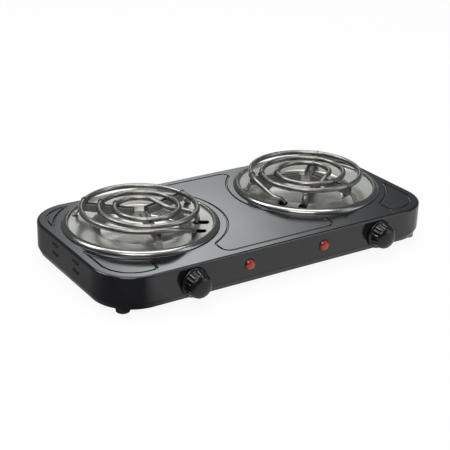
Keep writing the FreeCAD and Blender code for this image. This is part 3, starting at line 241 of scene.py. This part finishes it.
def patches(tree, size_mm, detail=3.0):
    """Uneven patches about size_mm across, fixed to the piece by its object coordinates."""
    where = add_node(tree, "ShaderNodeTexCoord").outputs["Object"]
    values = {"Scale": 1.0 / (size_mm * MM), "Detail": detail}
    return add_node(tree, "ShaderNodeTexNoise", values=values, links={"Vector": where}).outputs[0]


def span(low, high, start=0.35, end=0.65):
    """Values of a Map Range that goes from low to high as its source goes from start to end."""
    return {"From Min": start, "From Max": end, "To Min": low, "To Max": high}


def two_tones(tree, tones, source, start=0.35, end=0.65):
    """Colour that goes from one hex tone to the other as its source goes from start to end."""
    values = span(0.0, 1.0, start, end)
    share = add_node(tree, "ShaderNodeMapRange", {}, values, {"Value": source})
    values = {COLOUR_A: linear(tones[0]), COLOUR_B: linear(tones[1])}
    links = {0: share.outputs[0]}
    mix = add_node(tree, "ShaderNodeMix", {"data_type": "RGBA"}, values, links)
    return mix.outputs[COLOUR_OUT]


def coat(name, tones, cloud, gloss, relief, extra=None):
    """A finish with two tones and two roughnesses in patches, and a fine relief.

    cloud is the patches' size in mm and detail, relief its size in mm, detail and depth in mm.
    """
    material, tree, out = new_material(name)
    if tree:
        spots = patches(tree, *cloud)
        rough = add_node(tree, "ShaderNodeMapRange", {}, span(*gloss), {"Value": spots})
        size_mm, detail, depth_mm = relief
        grain = patches(tree, size_mm, detail)
        values = {"Distance": depth_mm * MM, "Strength": 1.0}
        bumps = add_node(tree, "ShaderNodeBump", {}, values, {"Height": grain})
        links = {
            "Base Color": two_tones(tree, tones, spots),
            "Roughness": rough.outputs[0],
            "Normal": bumps.outputs[0],
        }
        shader = add_node(tree, "ShaderNodeBsdfPrincipled", {}, extra, links)
        tree.links.new(shader.outputs[0], out.inputs[0])
    return material


# Drip pan, in mm: how wide its bead is, and how far its brim and bowl lie under its top
BEAD_WIDTH = 7.8
BEAD_BLEND = 0.4
BRIM_DROP = 6.0
BOWL_DROP = 8.5
# Roughness of the plating in the bowl, on the brim and on the bead
BOWL_HAZE = 0.19
BRIM_HAZE = 0.36
BEAD_HAZE = 0.15


def chrome():
    # Nickel-chrome plate on spun steel: a fairly clear mirror on the bead, hazed by heat inside
    # it, and a darker tone of painted shade on the bead
    material, tree, out = new_material("hazed_chrome_plate")
    if tree:
        low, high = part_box("left_drip_pan")
        middle, top = (low + high) / 2, high.z
        edge = (high.x - low.x) / 2
        place = add_node(tree, "ShaderNodeTexCoord").outputs["Object"]
        axes = add_node(tree, "ShaderNodeSeparateXYZ", links={0: place}).outputs
        # The pans lie evenly about X = 0, so how far along X from there serves both
        aside = add_node(tree, "ShaderNodeMath", {"operation": "ABSOLUTE"}, {}, {0: axes["X"]})
        links = {"X": aside.outputs[0], "Y": axes["Y"]}
        flat = add_node(tree, "ShaderNodeCombineXYZ", links=links)
        values = {1: (abs(middle.x), middle.y, 0)}
        links = {0: flat.outputs[0]}
        radius = add_node(tree, "ShaderNodeVectorMath", {"operation": "DISTANCE"}, values, links)
        inner = edge - BEAD_WIDTH * MM
        values = span(0.0, 1.0, inner - BEAD_BLEND * MM, inner + BEAD_BLEND * MM)
        bead = add_node(tree, "ShaderNodeMapRange", {}, values, {"Value": radius.outputs["Value"]})
        values = span(BOWL_HAZE, BRIM_HAZE, top - BOWL_DROP * MM, top - BRIM_DROP * MM)
        bowl = add_node(tree, "ShaderNodeMapRange", {}, values, {"Value": axes["Z"]})
        links = {0: bead.outputs[0], NUMBER_A: bowl.outputs[0]}
        haze = add_node(tree, "ShaderNodeMix", {}, {NUMBER_B: BEAD_HAZE}, links)
        links = {"Value": patches(tree, 25.0)}
        cloud = add_node(tree, "ShaderNodeMapRange", {}, span(0.0, 0.05), links)
        links = {0: haze.outputs[0], 1: cloud.outputs[0]}
        rough = add_node(tree, "ShaderNodeMath", {"operation": "ADD"}, {}, links)
        tones = (colours().chrome, colours().chrome_warm)
        warmed = two_tones(tree, tones, patches(tree, 40.0, 2.0))
        # The bead takes the darker tone: painted shade for its dark reflections
        values = {COLOUR_B: linear(colours().chrome_bead_shade)}
        links = {0: bead.outputs[0], COLOUR_A: warmed}
        tone = add_node(tree, "ShaderNodeMix", {"data_type": "RGBA"}, values, links)
        links = {"Base Color": tone.outputs[COLOUR_OUT], "Roughness": rough.outputs[0]}
        shader = add_node(tree, "ShaderNodeBsdfPrincipled", {}, {"Metallic": 1.0}, links)
        tree.links.new(shader.outputs[0], out.inputs[0])
    return material


# Lens: how far behind its tip its painted shade starts to deepen the colour and where it is full,
# in mm
LENS_SHADE_START = 1.0
LENS_SHADE_FULL = 4.0


def acrylic():
    # Red acrylic dome: glossy, red at the tip and deepened to dark red where it meets the panel by
    # painted shade
    material, tree, out = new_material("red_acrylic_lens")
    if tree:
        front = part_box("left_lamp_lens")[0].y
        place = add_node(tree, "ShaderNodeTexCoord").outputs["Object"]
        depth = add_node(tree, "ShaderNodeSeparateXYZ", links={0: place}).outputs["Y"]
        tones = (colours().lens, colours().lens_shade)
        start, end = front + LENS_SHADE_START * MM, front + LENS_SHADE_FULL * MM
        links = {"Value": patches(tree, 6.0)}
        rough = add_node(tree, "ShaderNodeMapRange", {}, span(0.1, 0.14), links)
        links = {
            "Base Color": two_tones(tree, tones, depth, start, end),
            "Roughness": rough.outputs[0],
        }
        values = {"Transmission Weight": 0.2}
        shader = add_node(tree, "ShaderNodeBsdfPrincipled", {}, values, links)
        tree.links.new(shader.outputs[0], out.inputs[0])
    return material


def slot_of(node):
    """The record's material slot of a CAD node."""
    return next(s["material_slot"] for s in frame["record"]["subparts"] if s["node"] == node)


def finish_for(slot_name):
    """The material of a slot of the record."""
    c = colours()
    metal = {"Metallic": 1.0}
    if slot_name == "chrome":
        return chrome()
    if slot_name == "lens_red":
        return acrylic()
    # Each coat: its name, tones, patches, roughnesses, relief and any further sockets
    coats = {
        # Black vitreous enamel fired on pressed steel: deep gloss with a faint orange peel
        "black_enamel": (
            "black_vitreous_enamel",
            (c.enamel, c.enamel_thin),
            (60.0, 2.0),
            (0.11, 0.15),
            (4.0, 2.0, 0.006),
            {"IOR": 1.5},
        ),
        # Nickel-steel tube sheath, annealed: satin metal with brown-green oxide patches
        "element_steel": (
            "annealed_nickel_steel_sheath",
            (c.sheath_tint, c.sheath),
            (12.0, 4.0),
            (0.34, 0.29),
            (1.5, 2.0, 0.002),
            metal,
        ),
        # Stainless sheet, pressed: satin with a fine rolled grain, straw coloured by heat
        "support_steel": (
            "pressed_stainless_sheet",
            (c.support, c.support_tint),
            (9.0, 3.0),
            (0.55, 0.65),
            (1.0, 3.0, 0.01),
            metal,
        ),
        # Bright zinc plate on small steel parts: pale and a little uneven
        "zinc_steel": (
            "bright_zinc_plate",
            ("B4B6B8", "A9ABAE"),
            (3.0, 3.0),
            (0.26, 0.34),
            (1.0, 3.0, 0.01),
            metal,
        ),
        # Turned brass, dulled by air: yellow with browner patches
        "brass": (
            "turned_brass",
            ("B99A55", "A98B4A"),
            (3.0, 3.0),
            (0.26, 0.34),
            (1.0, 3.0, 0.01),
            metal,
        ),
        # Moulded nylon with a fine spark-eroded texture: matt black
        "black_plastic": (
            "moulded_black_nylon",
            ("202022", "1B1B1D"),
            (8.0, 3.0),
            (0.43, 0.57),
            (0.4, 3.0, 0.02),
        ),
        # Moulded polyamide of the terminal block: milky and slightly waxy
        "block_plastic": (
            "moulded_polyamide_block",
            ("D8D4C8", "CFCABB"),
            (8.0, 3.0),
            (0.43, 0.57),
            (0.4, 3.0, 0.01),
        ),
        # Glass-fibre sleeving of the leads: dull, with a fine braid
        "lead_insulation": (
            "dark_fibre_sleeving",
            ("2A2A2C", "222224"),
            (2.0, 3.0),
            (0.51, 0.69),
            (0.3, 3.0, 0.03),
        ),
        "lead_insulation_pale": (
            "pale_fibre_sleeving",
            ("C9C7C0", "BDBAB0"),
            (2.0, 3.0),
            (0.51, 0.69),
            (0.3, 3.0, 0.03),
        ),
        # Steatite: dry pressed ceramic, cream coloured and slightly glazed
        "ceramic": (
            "steatite_ceramic",
            ("E6E0D2", "DCD4C2"),
            (4.0, 3.0),
            (0.38, 0.52),
            (0.6, 3.0, 0.01),
        ),
        # Phenolic moulding: very glossy black with a faint flow ripple
        "knob_plastic": (
            "gloss_black_phenolic",
            (c.knob, "0E0E10"),
            (6.0, 3.0),
            (0.11, 0.15),
            (6.0, 3.0, 0.004),
            {"Specular IOR Level": 0.34},
        ),
        # Clear glass of the small bulbs: a faint warm tint
        "bulb_glass": (
            "clear_bulb_glass",
            ("F2EAD8", "EFE5CE"),
            (6.0, 3.0),
            (0.04, 0.06),
            (6.0, 3.0, 0.001),
            {"Transmission Weight": 0.9},
        ),
        # Moulded rubber: matt, slightly dusty
        "foot_rubber": (
            "moulded_rubber",
            (c.rubber, "222224"),
            (5.0, 3.0),
            (0.55, 0.75),
            (0.7, 3.0, 0.03),
        ),
    }
    return coat(*coats[slot_name])


def refinish(nodes):
    """Gives CAD nodes the finishes of their slots."""
    for node in nodes:
        materials = frame["nodes"][node].data.materials
        materials.clear()
        materials.append(finish_for(slot_of(node)))


# ---------------------------------------------------------------- pieces
def turned(line, steps):
    """Closed solid of revolution about local Z from a line of (radius, height) points in mm."""
    bm = bmesh.new()
    verts = [bm.verts.new((radius * MM, 0, height * MM)) for radius, height in line]
    edges = [bm.edges.new(pair) for pair in zip(verts, verts[1:])]
    bmesh.ops.spin(
        bm,
        geom=verts + edges,
        axis=(0, 0, 1),
        cent=(0, 0, 0),
        angle=2 * math.pi,
        steps=steps,
        use_merge=True,
    )
    bmesh.ops.remove_doubles(bm, verts=bm.verts[:], dist=WELD * MM)
    bmesh.ops.recalc_face_normals(bm, faces=bm.faces[:])
    return bm


def face_front(bm):
    """Turns a piece's local Z to point out of the front panel."""
    quarter = Matrix.Rotation(math.radians(90), 3, "X")
    bmesh.ops.rotate(bm, cent=(0, 0, 0), matrix=quarter, verts=bm.verts[:])


def finished(name, bm, body, node):
    """Smooth object with its subdivision, riding on a body in place of a CAD node."""
    for face in bm.faces:
        face.smooth = True
    obj = new_object(name, bm, finish_for(slot_of(node)))
    smooth = obj.modifiers.new("smooth", "SUBSURF")
    smooth.levels = smooth.render_levels = SMOOTHING
    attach(obj, body)
    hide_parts(node)


# Half section of a knob from its shaft hole, over the flange and grip, to the tip: radius and
# height in mm
KNOB_LINE = (
    (0.0, 11.5),
    (3.05, 11.5),
    (3.05, 11.3),
    (3.05, 0.2),
    (3.3, 0.0),
    (17.3, 0.0),
    (17.9, 0.25),
    (18.0, 0.9),
    (17.9, 1.5),
    (17.2, 2.2),
    (16.3, 2.75),
    (15.9, 3.3),
    (15.7, 4.4),
    (15.2, 7.6),
    (14.7, 10.8),
    (14.4, 12.6),
    (13.7, 14.3),
    (12.0, 15.9),
    (9.2, 17.2),
    (5.6, 18.15),
    (2.4, 18.45),
    (0.0, 18.5),
)
# Grip of a knob, in mm: the heights between which it is fluted, its radius at the flutes,
# and a radius that only its outer side is past
GRIP_FOOT = 3.0
GRIP_TOP = 13.2
GRIP_RADIUS = 15.2
GRIP_INSIDE = 10.0
# Steps of the turned knob to one flute, and how crisp the edge of a flute stays
FLUTE_STEPS = 4
FLUTE_CREASE = 0.35


def knob_shape():
    """Phenolic knob: round flange, fluted grip and glossy dome."""
    flutes = sizes().knob_flutes
    bm = turned(KNOB_LINE, FLUTE_STEPS * flutes)
    sunk = []
    for vert in bm.verts:
        turn = math.atan2(vert.co.y, vert.co.x) / (2 * math.pi) * flutes
        in_grip = GRIP_FOOT * MM < vert.co.z < GRIP_TOP * MM
        on_flute = abs(turn - round(turn)) < 0.5 / FLUTE_STEPS
        if in_grip and on_flute and vert.co.xy.length > GRIP_INSIDE * MM:
            sunk.append(vert)
    share = 1 - sizes().flute_depth / (GRIP_RADIUS * MM)
    bmesh.ops.scale(bm, vec=(share, share, 1), verts=sunk)
    crease = bm.edges.layers.float.new("crease_edge")
    for edge in bm.edges:
        if edge.verts[0] in sunk and edge.verts[1] in sunk:
            edge[crease] = FLUTE_CREASE
    return bm


# Half section of a lens from its hollow stem, over its rim, to the top of the dome, in mm
LENS_LINE = (
    (0.0, -1.2),
    (3.0, -1.2),
    (3.3, -1.5),
    (3.3, -12.8),
    (3.5, -13.0),
    (4.3, -13.0),
    (4.5, -12.8),
    (4.5, -0.1),
    (4.6, 0.0),
    (6.9, 0.0),
    (7.15, 0.2),
    (7.2, 0.5),
    (7.1, 0.85),
    (6.6, 1.5),
    (5.4, 2.9),
    (3.6, 4.3),
    (1.6, 5.05),
    (0.0, 5.2),
)
DOME_HEIGHT = 5.2

# Half section of a foot from the screw hole, round its recess and its sides, in mm
FOOT_LINE = (
    (2.2, 4.0),
    (4.2, 4.0),
    (4.4, 3.8),
    (4.4, 0.6),
    (4.7, 0.0),
    (5.2, 0.0),
    (6.3, 0.0),
    (7.5, 0.25),
    (8.1, 0.9),
    (8.25, 2.0),
    (8.5, 6.0),
    (8.55, 6.85),
    (8.4, 7.0),
    (2.4, 7.0),
    (2.2, 6.8),
    (2.2, 4.2),
    (2.2, 4.0),
)
# How far the middle of a foot lies inside the feet's box, in mm
FOOT_RADIUS = 8.6


# ---------------------------------------------------------------- stage
def camera():
    """Camera a little above the cooker, off its left front corner."""
    azimuth, elevation, roll = map(math.radians, CAMERA_TURN)
    level = Vector((math.cos(azimuth), math.sin(azimuth), 0))
    back = Vector((level.y, -level.x, 0)) * math.cos(elevation)
    back.z = math.sin(elevation)
    up = back.cross(level)
    right = level * math.cos(roll) + up * math.sin(roll)
    up = up * math.cos(roll) - level * math.sin(roll)
    target = Vector((0, TARGET_BACK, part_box("top_housing")[1].z - TARGET_DROP))
    place = target + back * CAMERA_DISTANCE - right * CAMERA_SHIFT[0] - up * CAMERA_SHIFT[1]
    data = bpy.data.cameras.new("stage_camera")
    data.sensor_width = CAMERA_SENSOR
    data.lens = CAMERA_LENS
    obj = bpy.data.objects.new("stage_camera", data)
    bpy.context.scene.collection.objects.link(obj)
    axes = Matrix((right, up, back)).transposed().to_4x4()
    obj.matrix_world = Matrix.Translation(place) @ axes
    bpy.context.scene.camera = obj


def new_object(name, bm, material):
    """Object at the origin from a finished bmesh."""
    mesh = bpy.data.meshes.new(name)
    bm.to_mesh(mesh)
    bm.free()
    mesh.materials.append(material)
    obj = bpy.data.objects.new(name, mesh)
    bpy.context.scene.collection.objects.link(obj)
    return obj


def paper_floor():
    """Level sheet of paper just under the feet."""
    bm = bmesh.new()
    bmesh.ops.create_grid(bm, x_segments=2, y_segments=2, size=sizes().wall_distance)
    bmesh.ops.translate(bm, vec=(0, 0, -FLOOR_DROP * MM), verts=bm.verts)
    new_object("paper_floor", bm, floor_material())


def seen_rays(tree, kinds):
    """1 for the named kinds of ray, 0 for all the others."""
    rays = add_node(tree, "ShaderNodeLightPath").outputs
    total = rays[kinds[0]]
    for kind in kinds[1:]:
        links = {0: total, 1: rays[kind]}
        total = add_node(tree, "ShaderNodeMath", {"operation": "MAXIMUM"}, {}, links).outputs[0]
    return total


def floor_material():
    # Seamless paper: camera, mirror and glass rays see it white, and it still takes the shadow
    material, tree, out = new_material("seamless_white_paper")
    if tree:
        paper = add_node(tree, "ShaderNodeBsdfDiffuse", values={"Color": linear(colours().floor)})
        # Mirrors see it in less light at the left end and close under the front edge
        where = add_node(tree, "ShaderNodeTexCoord").outputs["Object"]
        axes = add_node(tree, "ShaderNodeSeparateXYZ", links={0: where}).outputs
        ends, sides, front = (
            add_node(tree, "ShaderNodeMapRange", {}, span(*levels), {"Value": axes[axis]})
            for levels, axis in ((SHADE_END, "X"), (SHADE_SIDE, "Y"), (SHADE_FRONT, "Y"))
        )
        links = {0: ends.outputs[0], 1: sides.outputs[0]}
        lit = add_node(tree, "ShaderNodeMath", {"operation": "MAXIMUM"}, {}, links)
        links = {0: lit.outputs[0], 1: front.outputs[0]}
        shade = add_node(tree, "ShaderNodeMath", {"operation": "MULTIPLY"}, {}, links)
        mirror = seen_rays(tree, ("Is Glossy Ray",))
        links = {0: mirror, NUMBER_B: shade.outputs[0]}
        level = add_node(tree, "ShaderNodeMix", {}, {NUMBER_A: 1.0}, links)
        white = add_node(tree, "ShaderNodeEmission", links={"Strength": level.outputs[0]})
        seen = seen_rays(tree, ("Is Camera Ray", "Is Transmission Ray"))
        settings = {"operation": "MULTIPLY_ADD"}
        part = add_node(tree, "ShaderNodeMath", settings, {1: FLOOR_WHITE}, {0: seen, 2: mirror})
        links = {0: part.outputs[0], 1: paper.outputs[0], 2: white.outputs[0]}
        mix = add_node(tree, "ShaderNodeMixShader", links=links)
        tree.links.new(mix.outputs[0], out.inputs[0])
    return material


def direction(azimuth, elevation):
    """Unit vector: azimuth in degrees from +Y towards +X, elevation above the floor."""
    a, e = math.radians(azimuth), math.radians(elevation)
    return (math.sin(a) * math.cos(e), math.cos(a) * math.cos(e), math.sin(e))


def wall_material():
    # Dim grey studio wall, seen only in gloss and glass, with soft round glows on it
    material, tree, out = new_material("dim_studio_wall")
    if tree:
        place = add_node(tree, "ShaderNodeTexCoord").outputs["Object"]
        settings = {"operation": "NORMALIZE"}
        ray = add_node(tree, "ShaderNodeVectorMath", settings, {}, {0: place}).outputs[0]
        total = None
        for azimuth, elevation, spread, strength in GLOWS:
            settings = {"operation": "DOT_PRODUCT"}
            values = {1: direction(azimuth, elevation)}
            near = add_node(tree, "ShaderNodeVectorMath", settings, values, {0: ray})
            # Round and soft: e to the power of sharp times (cosine - 1)
            sharp = 2 / math.radians(spread) ** 2
            settings = {"operation": "MULTIPLY_ADD"}
            values, links = {1: sharp, 2: -sharp}, {0: near.outputs["Value"]}
            fall = add_node(tree, "ShaderNodeMath", settings, values, links)
            links = {0: fall.outputs[0]}
            glow = add_node(tree, "ShaderNodeMath", {"operation": "EXPONENT"}, {}, links)
            values, links = {1: strength, 2: WALL_BASE}, {0: glow.outputs[0]}
            if total:
                links[2] = total
            total = add_node(tree, "ShaderNodeMath", settings, values, links).outputs[0]
        values, links = {"Color": linear(colours().wall)}, {"Strength": total}
        light = add_node(tree, "ShaderNodeEmission", {}, values, links)
        tree.links.new(light.outputs[0], out.inputs[0])
    return material


def studio_wall():
    """Round wall about the cooker, open above, that only gloss and glass can see."""
    bm = bmesh.new()
    bmesh.ops.create_circle(bm, segments=WALL_STEPS, radius=sizes().wall_distance)
    rim = bmesh.ops.extrude_edge_only(bm, edges=bm.edges[:])["geom"]
    top = [item for item in rim if isinstance(item, bmesh.types.BMVert)]
    bmesh.ops.translate(bm, vec=(0, 0, sizes().wall_height), verts=top)
    wall = new_object("studio_wall", bm, wall_material())
    wall.visible_camera = False
    wall.visible_diffuse = False
    wall.visible_shadow = False


def lamp(name, place, width, height, watts):
    """Soft rectangular lamp that shines at the middle of the cooker."""
    data = bpy.data.lights.new(name, "AREA")
    data.shape = "RECTANGLE"
    data.size, data.size_y, data.energy = width, height, watts
    obj = bpy.data.objects.new(name, data)
    bpy.context.scene.collection.objects.link(obj)
    obj.location = place
    obj.rotation_euler = (-Vector(place)).to_track_quat("-Z", "Y").to_euler()


def world():
    """Plain white surroundings, and a soft even light from them."""
    made = bpy.data.worlds.new("studio")
    bpy.context.scene.world = made
    made.use_nodes = True
    tree = made.node_tree
    tree.nodes.clear()
    out = add_node(tree, "ShaderNodeOutputWorld")
    seen = seen_rays(tree, ("Is Camera Ray", "Is Glossy Ray", "Is Transmission Ray"))
    white = add_node(tree, "ShaderNodeBackground", values={"Strength": 1.0})
    soft = add_node(tree, "ShaderNodeBackground", values={"Strength": SKY_LIGHT})
    links = {0: seen, 1: soft.outputs[0], 2: white.outputs[0]}
    mix = add_node(tree, "ShaderNodeMixShader", links=links)
    tree.links.new(mix.outputs[0], out.inputs[0])


class HotPlateStage(bpy.types.Operator):
    """Sets the floor, the light and the camera"""

    bl_idname = "hot_plate.stage"
    bl_label = "Stage"

    def execute(self, context):
        context.scene.view_settings.view_transform = "Standard"
        camera()
        world()
        paper_floor()
        studio_wall()
        for settings in LAMPS:
            lamp(*settings)
        return {"FINISHED"}


class HotPlateCasing(bpy.types.Operator):
    """Enamels the hob plate and tray and finishes what is fixed on them outside"""

    bl_idname = "hot_plate.casing"
    bl_label = "Casing"

    def execute(self, context):
        refinish(CASING)
        return {"FINISHED"}


class HotPlatePans(bpy.types.Operator):
    """Plates the drip pans and their straps"""

    bl_idname = "hot_plate.pans"
    bl_label = "Drip pans"

    def execute(self, context):
        refinish(side + piece for side in SIDES for piece in PAN_PIECES)
        return {"FINISHED"}


class HotPlateElements(bpy.types.Operator):
    """Finishes the spiral elements, their supports and their seals"""

    bl_idname = "hot_plate.elements"
    bl_label = "Spiral elements"

    def execute(self, context):
        refinish(side + piece for side in SIDES for piece in ELEMENT_PIECES)
        return {"FINISHED"}


class HotPlateInner(bpy.types.Operator):
    """Finishes the pieces inside the casing: switches, leads, terminals and screws"""

    bl_idname = "hot_plate.inner"
    bl_label = "Pieces inside"

    def execute(self, context):
        outer = set(CASING)
        outer.update(side + piece for side in SIDES for piece in PAN_PIECES + ELEMENT_PIECES)
        refinish(node for node in frame["nodes"] if node not in outer)
        return {"FINISHED"}


class HotPlateKnobs(bpy.types.Operator):
    """Models the two fluted knobs"""

    bl_idname = "hot_plate.knobs"
    bl_label = "Knobs"

    def execute(self, context):
        for side in SIDES:
            node = side + "_knob"
            low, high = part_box(node)
            bm = knob_shape()
            face_front(bm)
            middle = (low + high) / 2
            bmesh.ops.translate(bm, vec=(middle.x, high.y, middle.z), verts=bm.verts[:])
            finished(side + "_fluted_knob", bm, side + "_control", node)
        return {"FINISHED"}


class HotPlateLamps(bpy.types.Operator):
    """Models the two red pilot lamp lenses"""

    bl_idname = "hot_plate.lamps"
    bl_label = "Lamp lenses"

    def execute(self, context):
        for side in SIDES:
            node = side + "_lamp_lens"
            low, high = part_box(node)
            bm = turned(LENS_LINE, ROUND_STEPS)
            face_front(bm)
            middle = (low + high) / 2
            front = low.y + DOME_HEIGHT * MM
            bmesh.ops.translate(bm, vec=(middle.x, front, middle.z), verts=bm.verts[:])
            finished(side + "_domed_lens", bm, "casing", node)
        return {"FINISHED"}


class HotPlateFeet(bpy.types.Operator):
    """Models the four rubber feet"""

    bl_idname = "hot_plate.feet"
    bl_label = "Rubber feet"

    def execute(self, context):
        low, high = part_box("rubber_feet")
        bm = turned(FOOT_LINE, ROUND_STEPS)
        reach = (high - low) / 2
        middle = (low + high) / 2
        across, along = reach.x - FOOT_RADIUS * MM, reach.y - FOOT_RADIUS * MM
        corner = (middle.x - across, middle.y - along, low.z)
        bmesh.ops.translate(bm, vec=corner, verts=bm.verts[:])
        for step in ((2 * across, 0, 0), (0, 2 * along, 0)):
            made = bmesh.ops.duplicate(bm, geom=bm.verts[:] + bm.edges[:] + bm.faces[:])["geom"]
            copies = [item for item in made if isinstance(item, bmesh.types.BMVert)]
            bmesh.ops.translate(bm, vec=step, verts=copies)
        finished("moulded_feet", bm, "casing", "rubber_feet")
        return {"FINISHED"}


class HotPlatePanel(bpy.types.Panel):
    """Lists the pieces of the cooker"""

    bl_idname = "VIEW3D_PT_hot_plate"
    bl_label = "Hot Plate"
    bl_space_type = "VIEW_3D"
    bl_region_type = "UI"
    bl_category = "Hot Plate"

    def draw(self, context):
        for operator in OPERATORS:
            self.layout.operator(operator.bl_idname)
        for group in (sizes(), colours()):
            for name in group.bl_rna.properties.keys():
                if name not in ("rna_type", "name"):
                    self.layout.prop(group, name)


OPERATORS = (
    HotPlateCasing,
    HotPlatePans,
    HotPlateElements,
    HotPlateInner,
    HotPlateKnobs,
    HotPlateLamps,
    HotPlateFeet,
    HotPlateStage,
)
CLASSES = (HotPlateSizes, HotPlateColours, *OPERATORS, HotPlatePanel)


def register():
    """Adds the classes and this scene's sizes and colours."""
    for cls in CLASSES:
        bpy.utils.register_class(cls)
    bpy.types.Scene.hot_plate_sizes = bpy.props.PointerProperty(type=HotPlateSizes)
    bpy.types.Scene.hot_plate_colours = bpy.props.PointerProperty(type=HotPlateColours)


def unregister():
    """Takes them out again."""
    del bpy.types.Scene.hot_plate_colours
    del bpy.types.Scene.hot_plate_sizes
    for cls in reversed(CLASSES):
        bpy.utils.unregister_class(cls)


def main():
    """Builds the whole scene."""
    register()
    bpy.ops.hot_plate.casing()
    bpy.ops.hot_plate.pans()
    bpy.ops.hot_plate.elements()
    bpy.ops.hot_plate.inner()
    bpy.ops.hot_plate.knobs()
    bpy.ops.hot_plate.lamps()
    bpy.ops.hot_plate.feet()
    bpy.ops.hot_plate.stage()


if __name__ == "__main__":
    main()
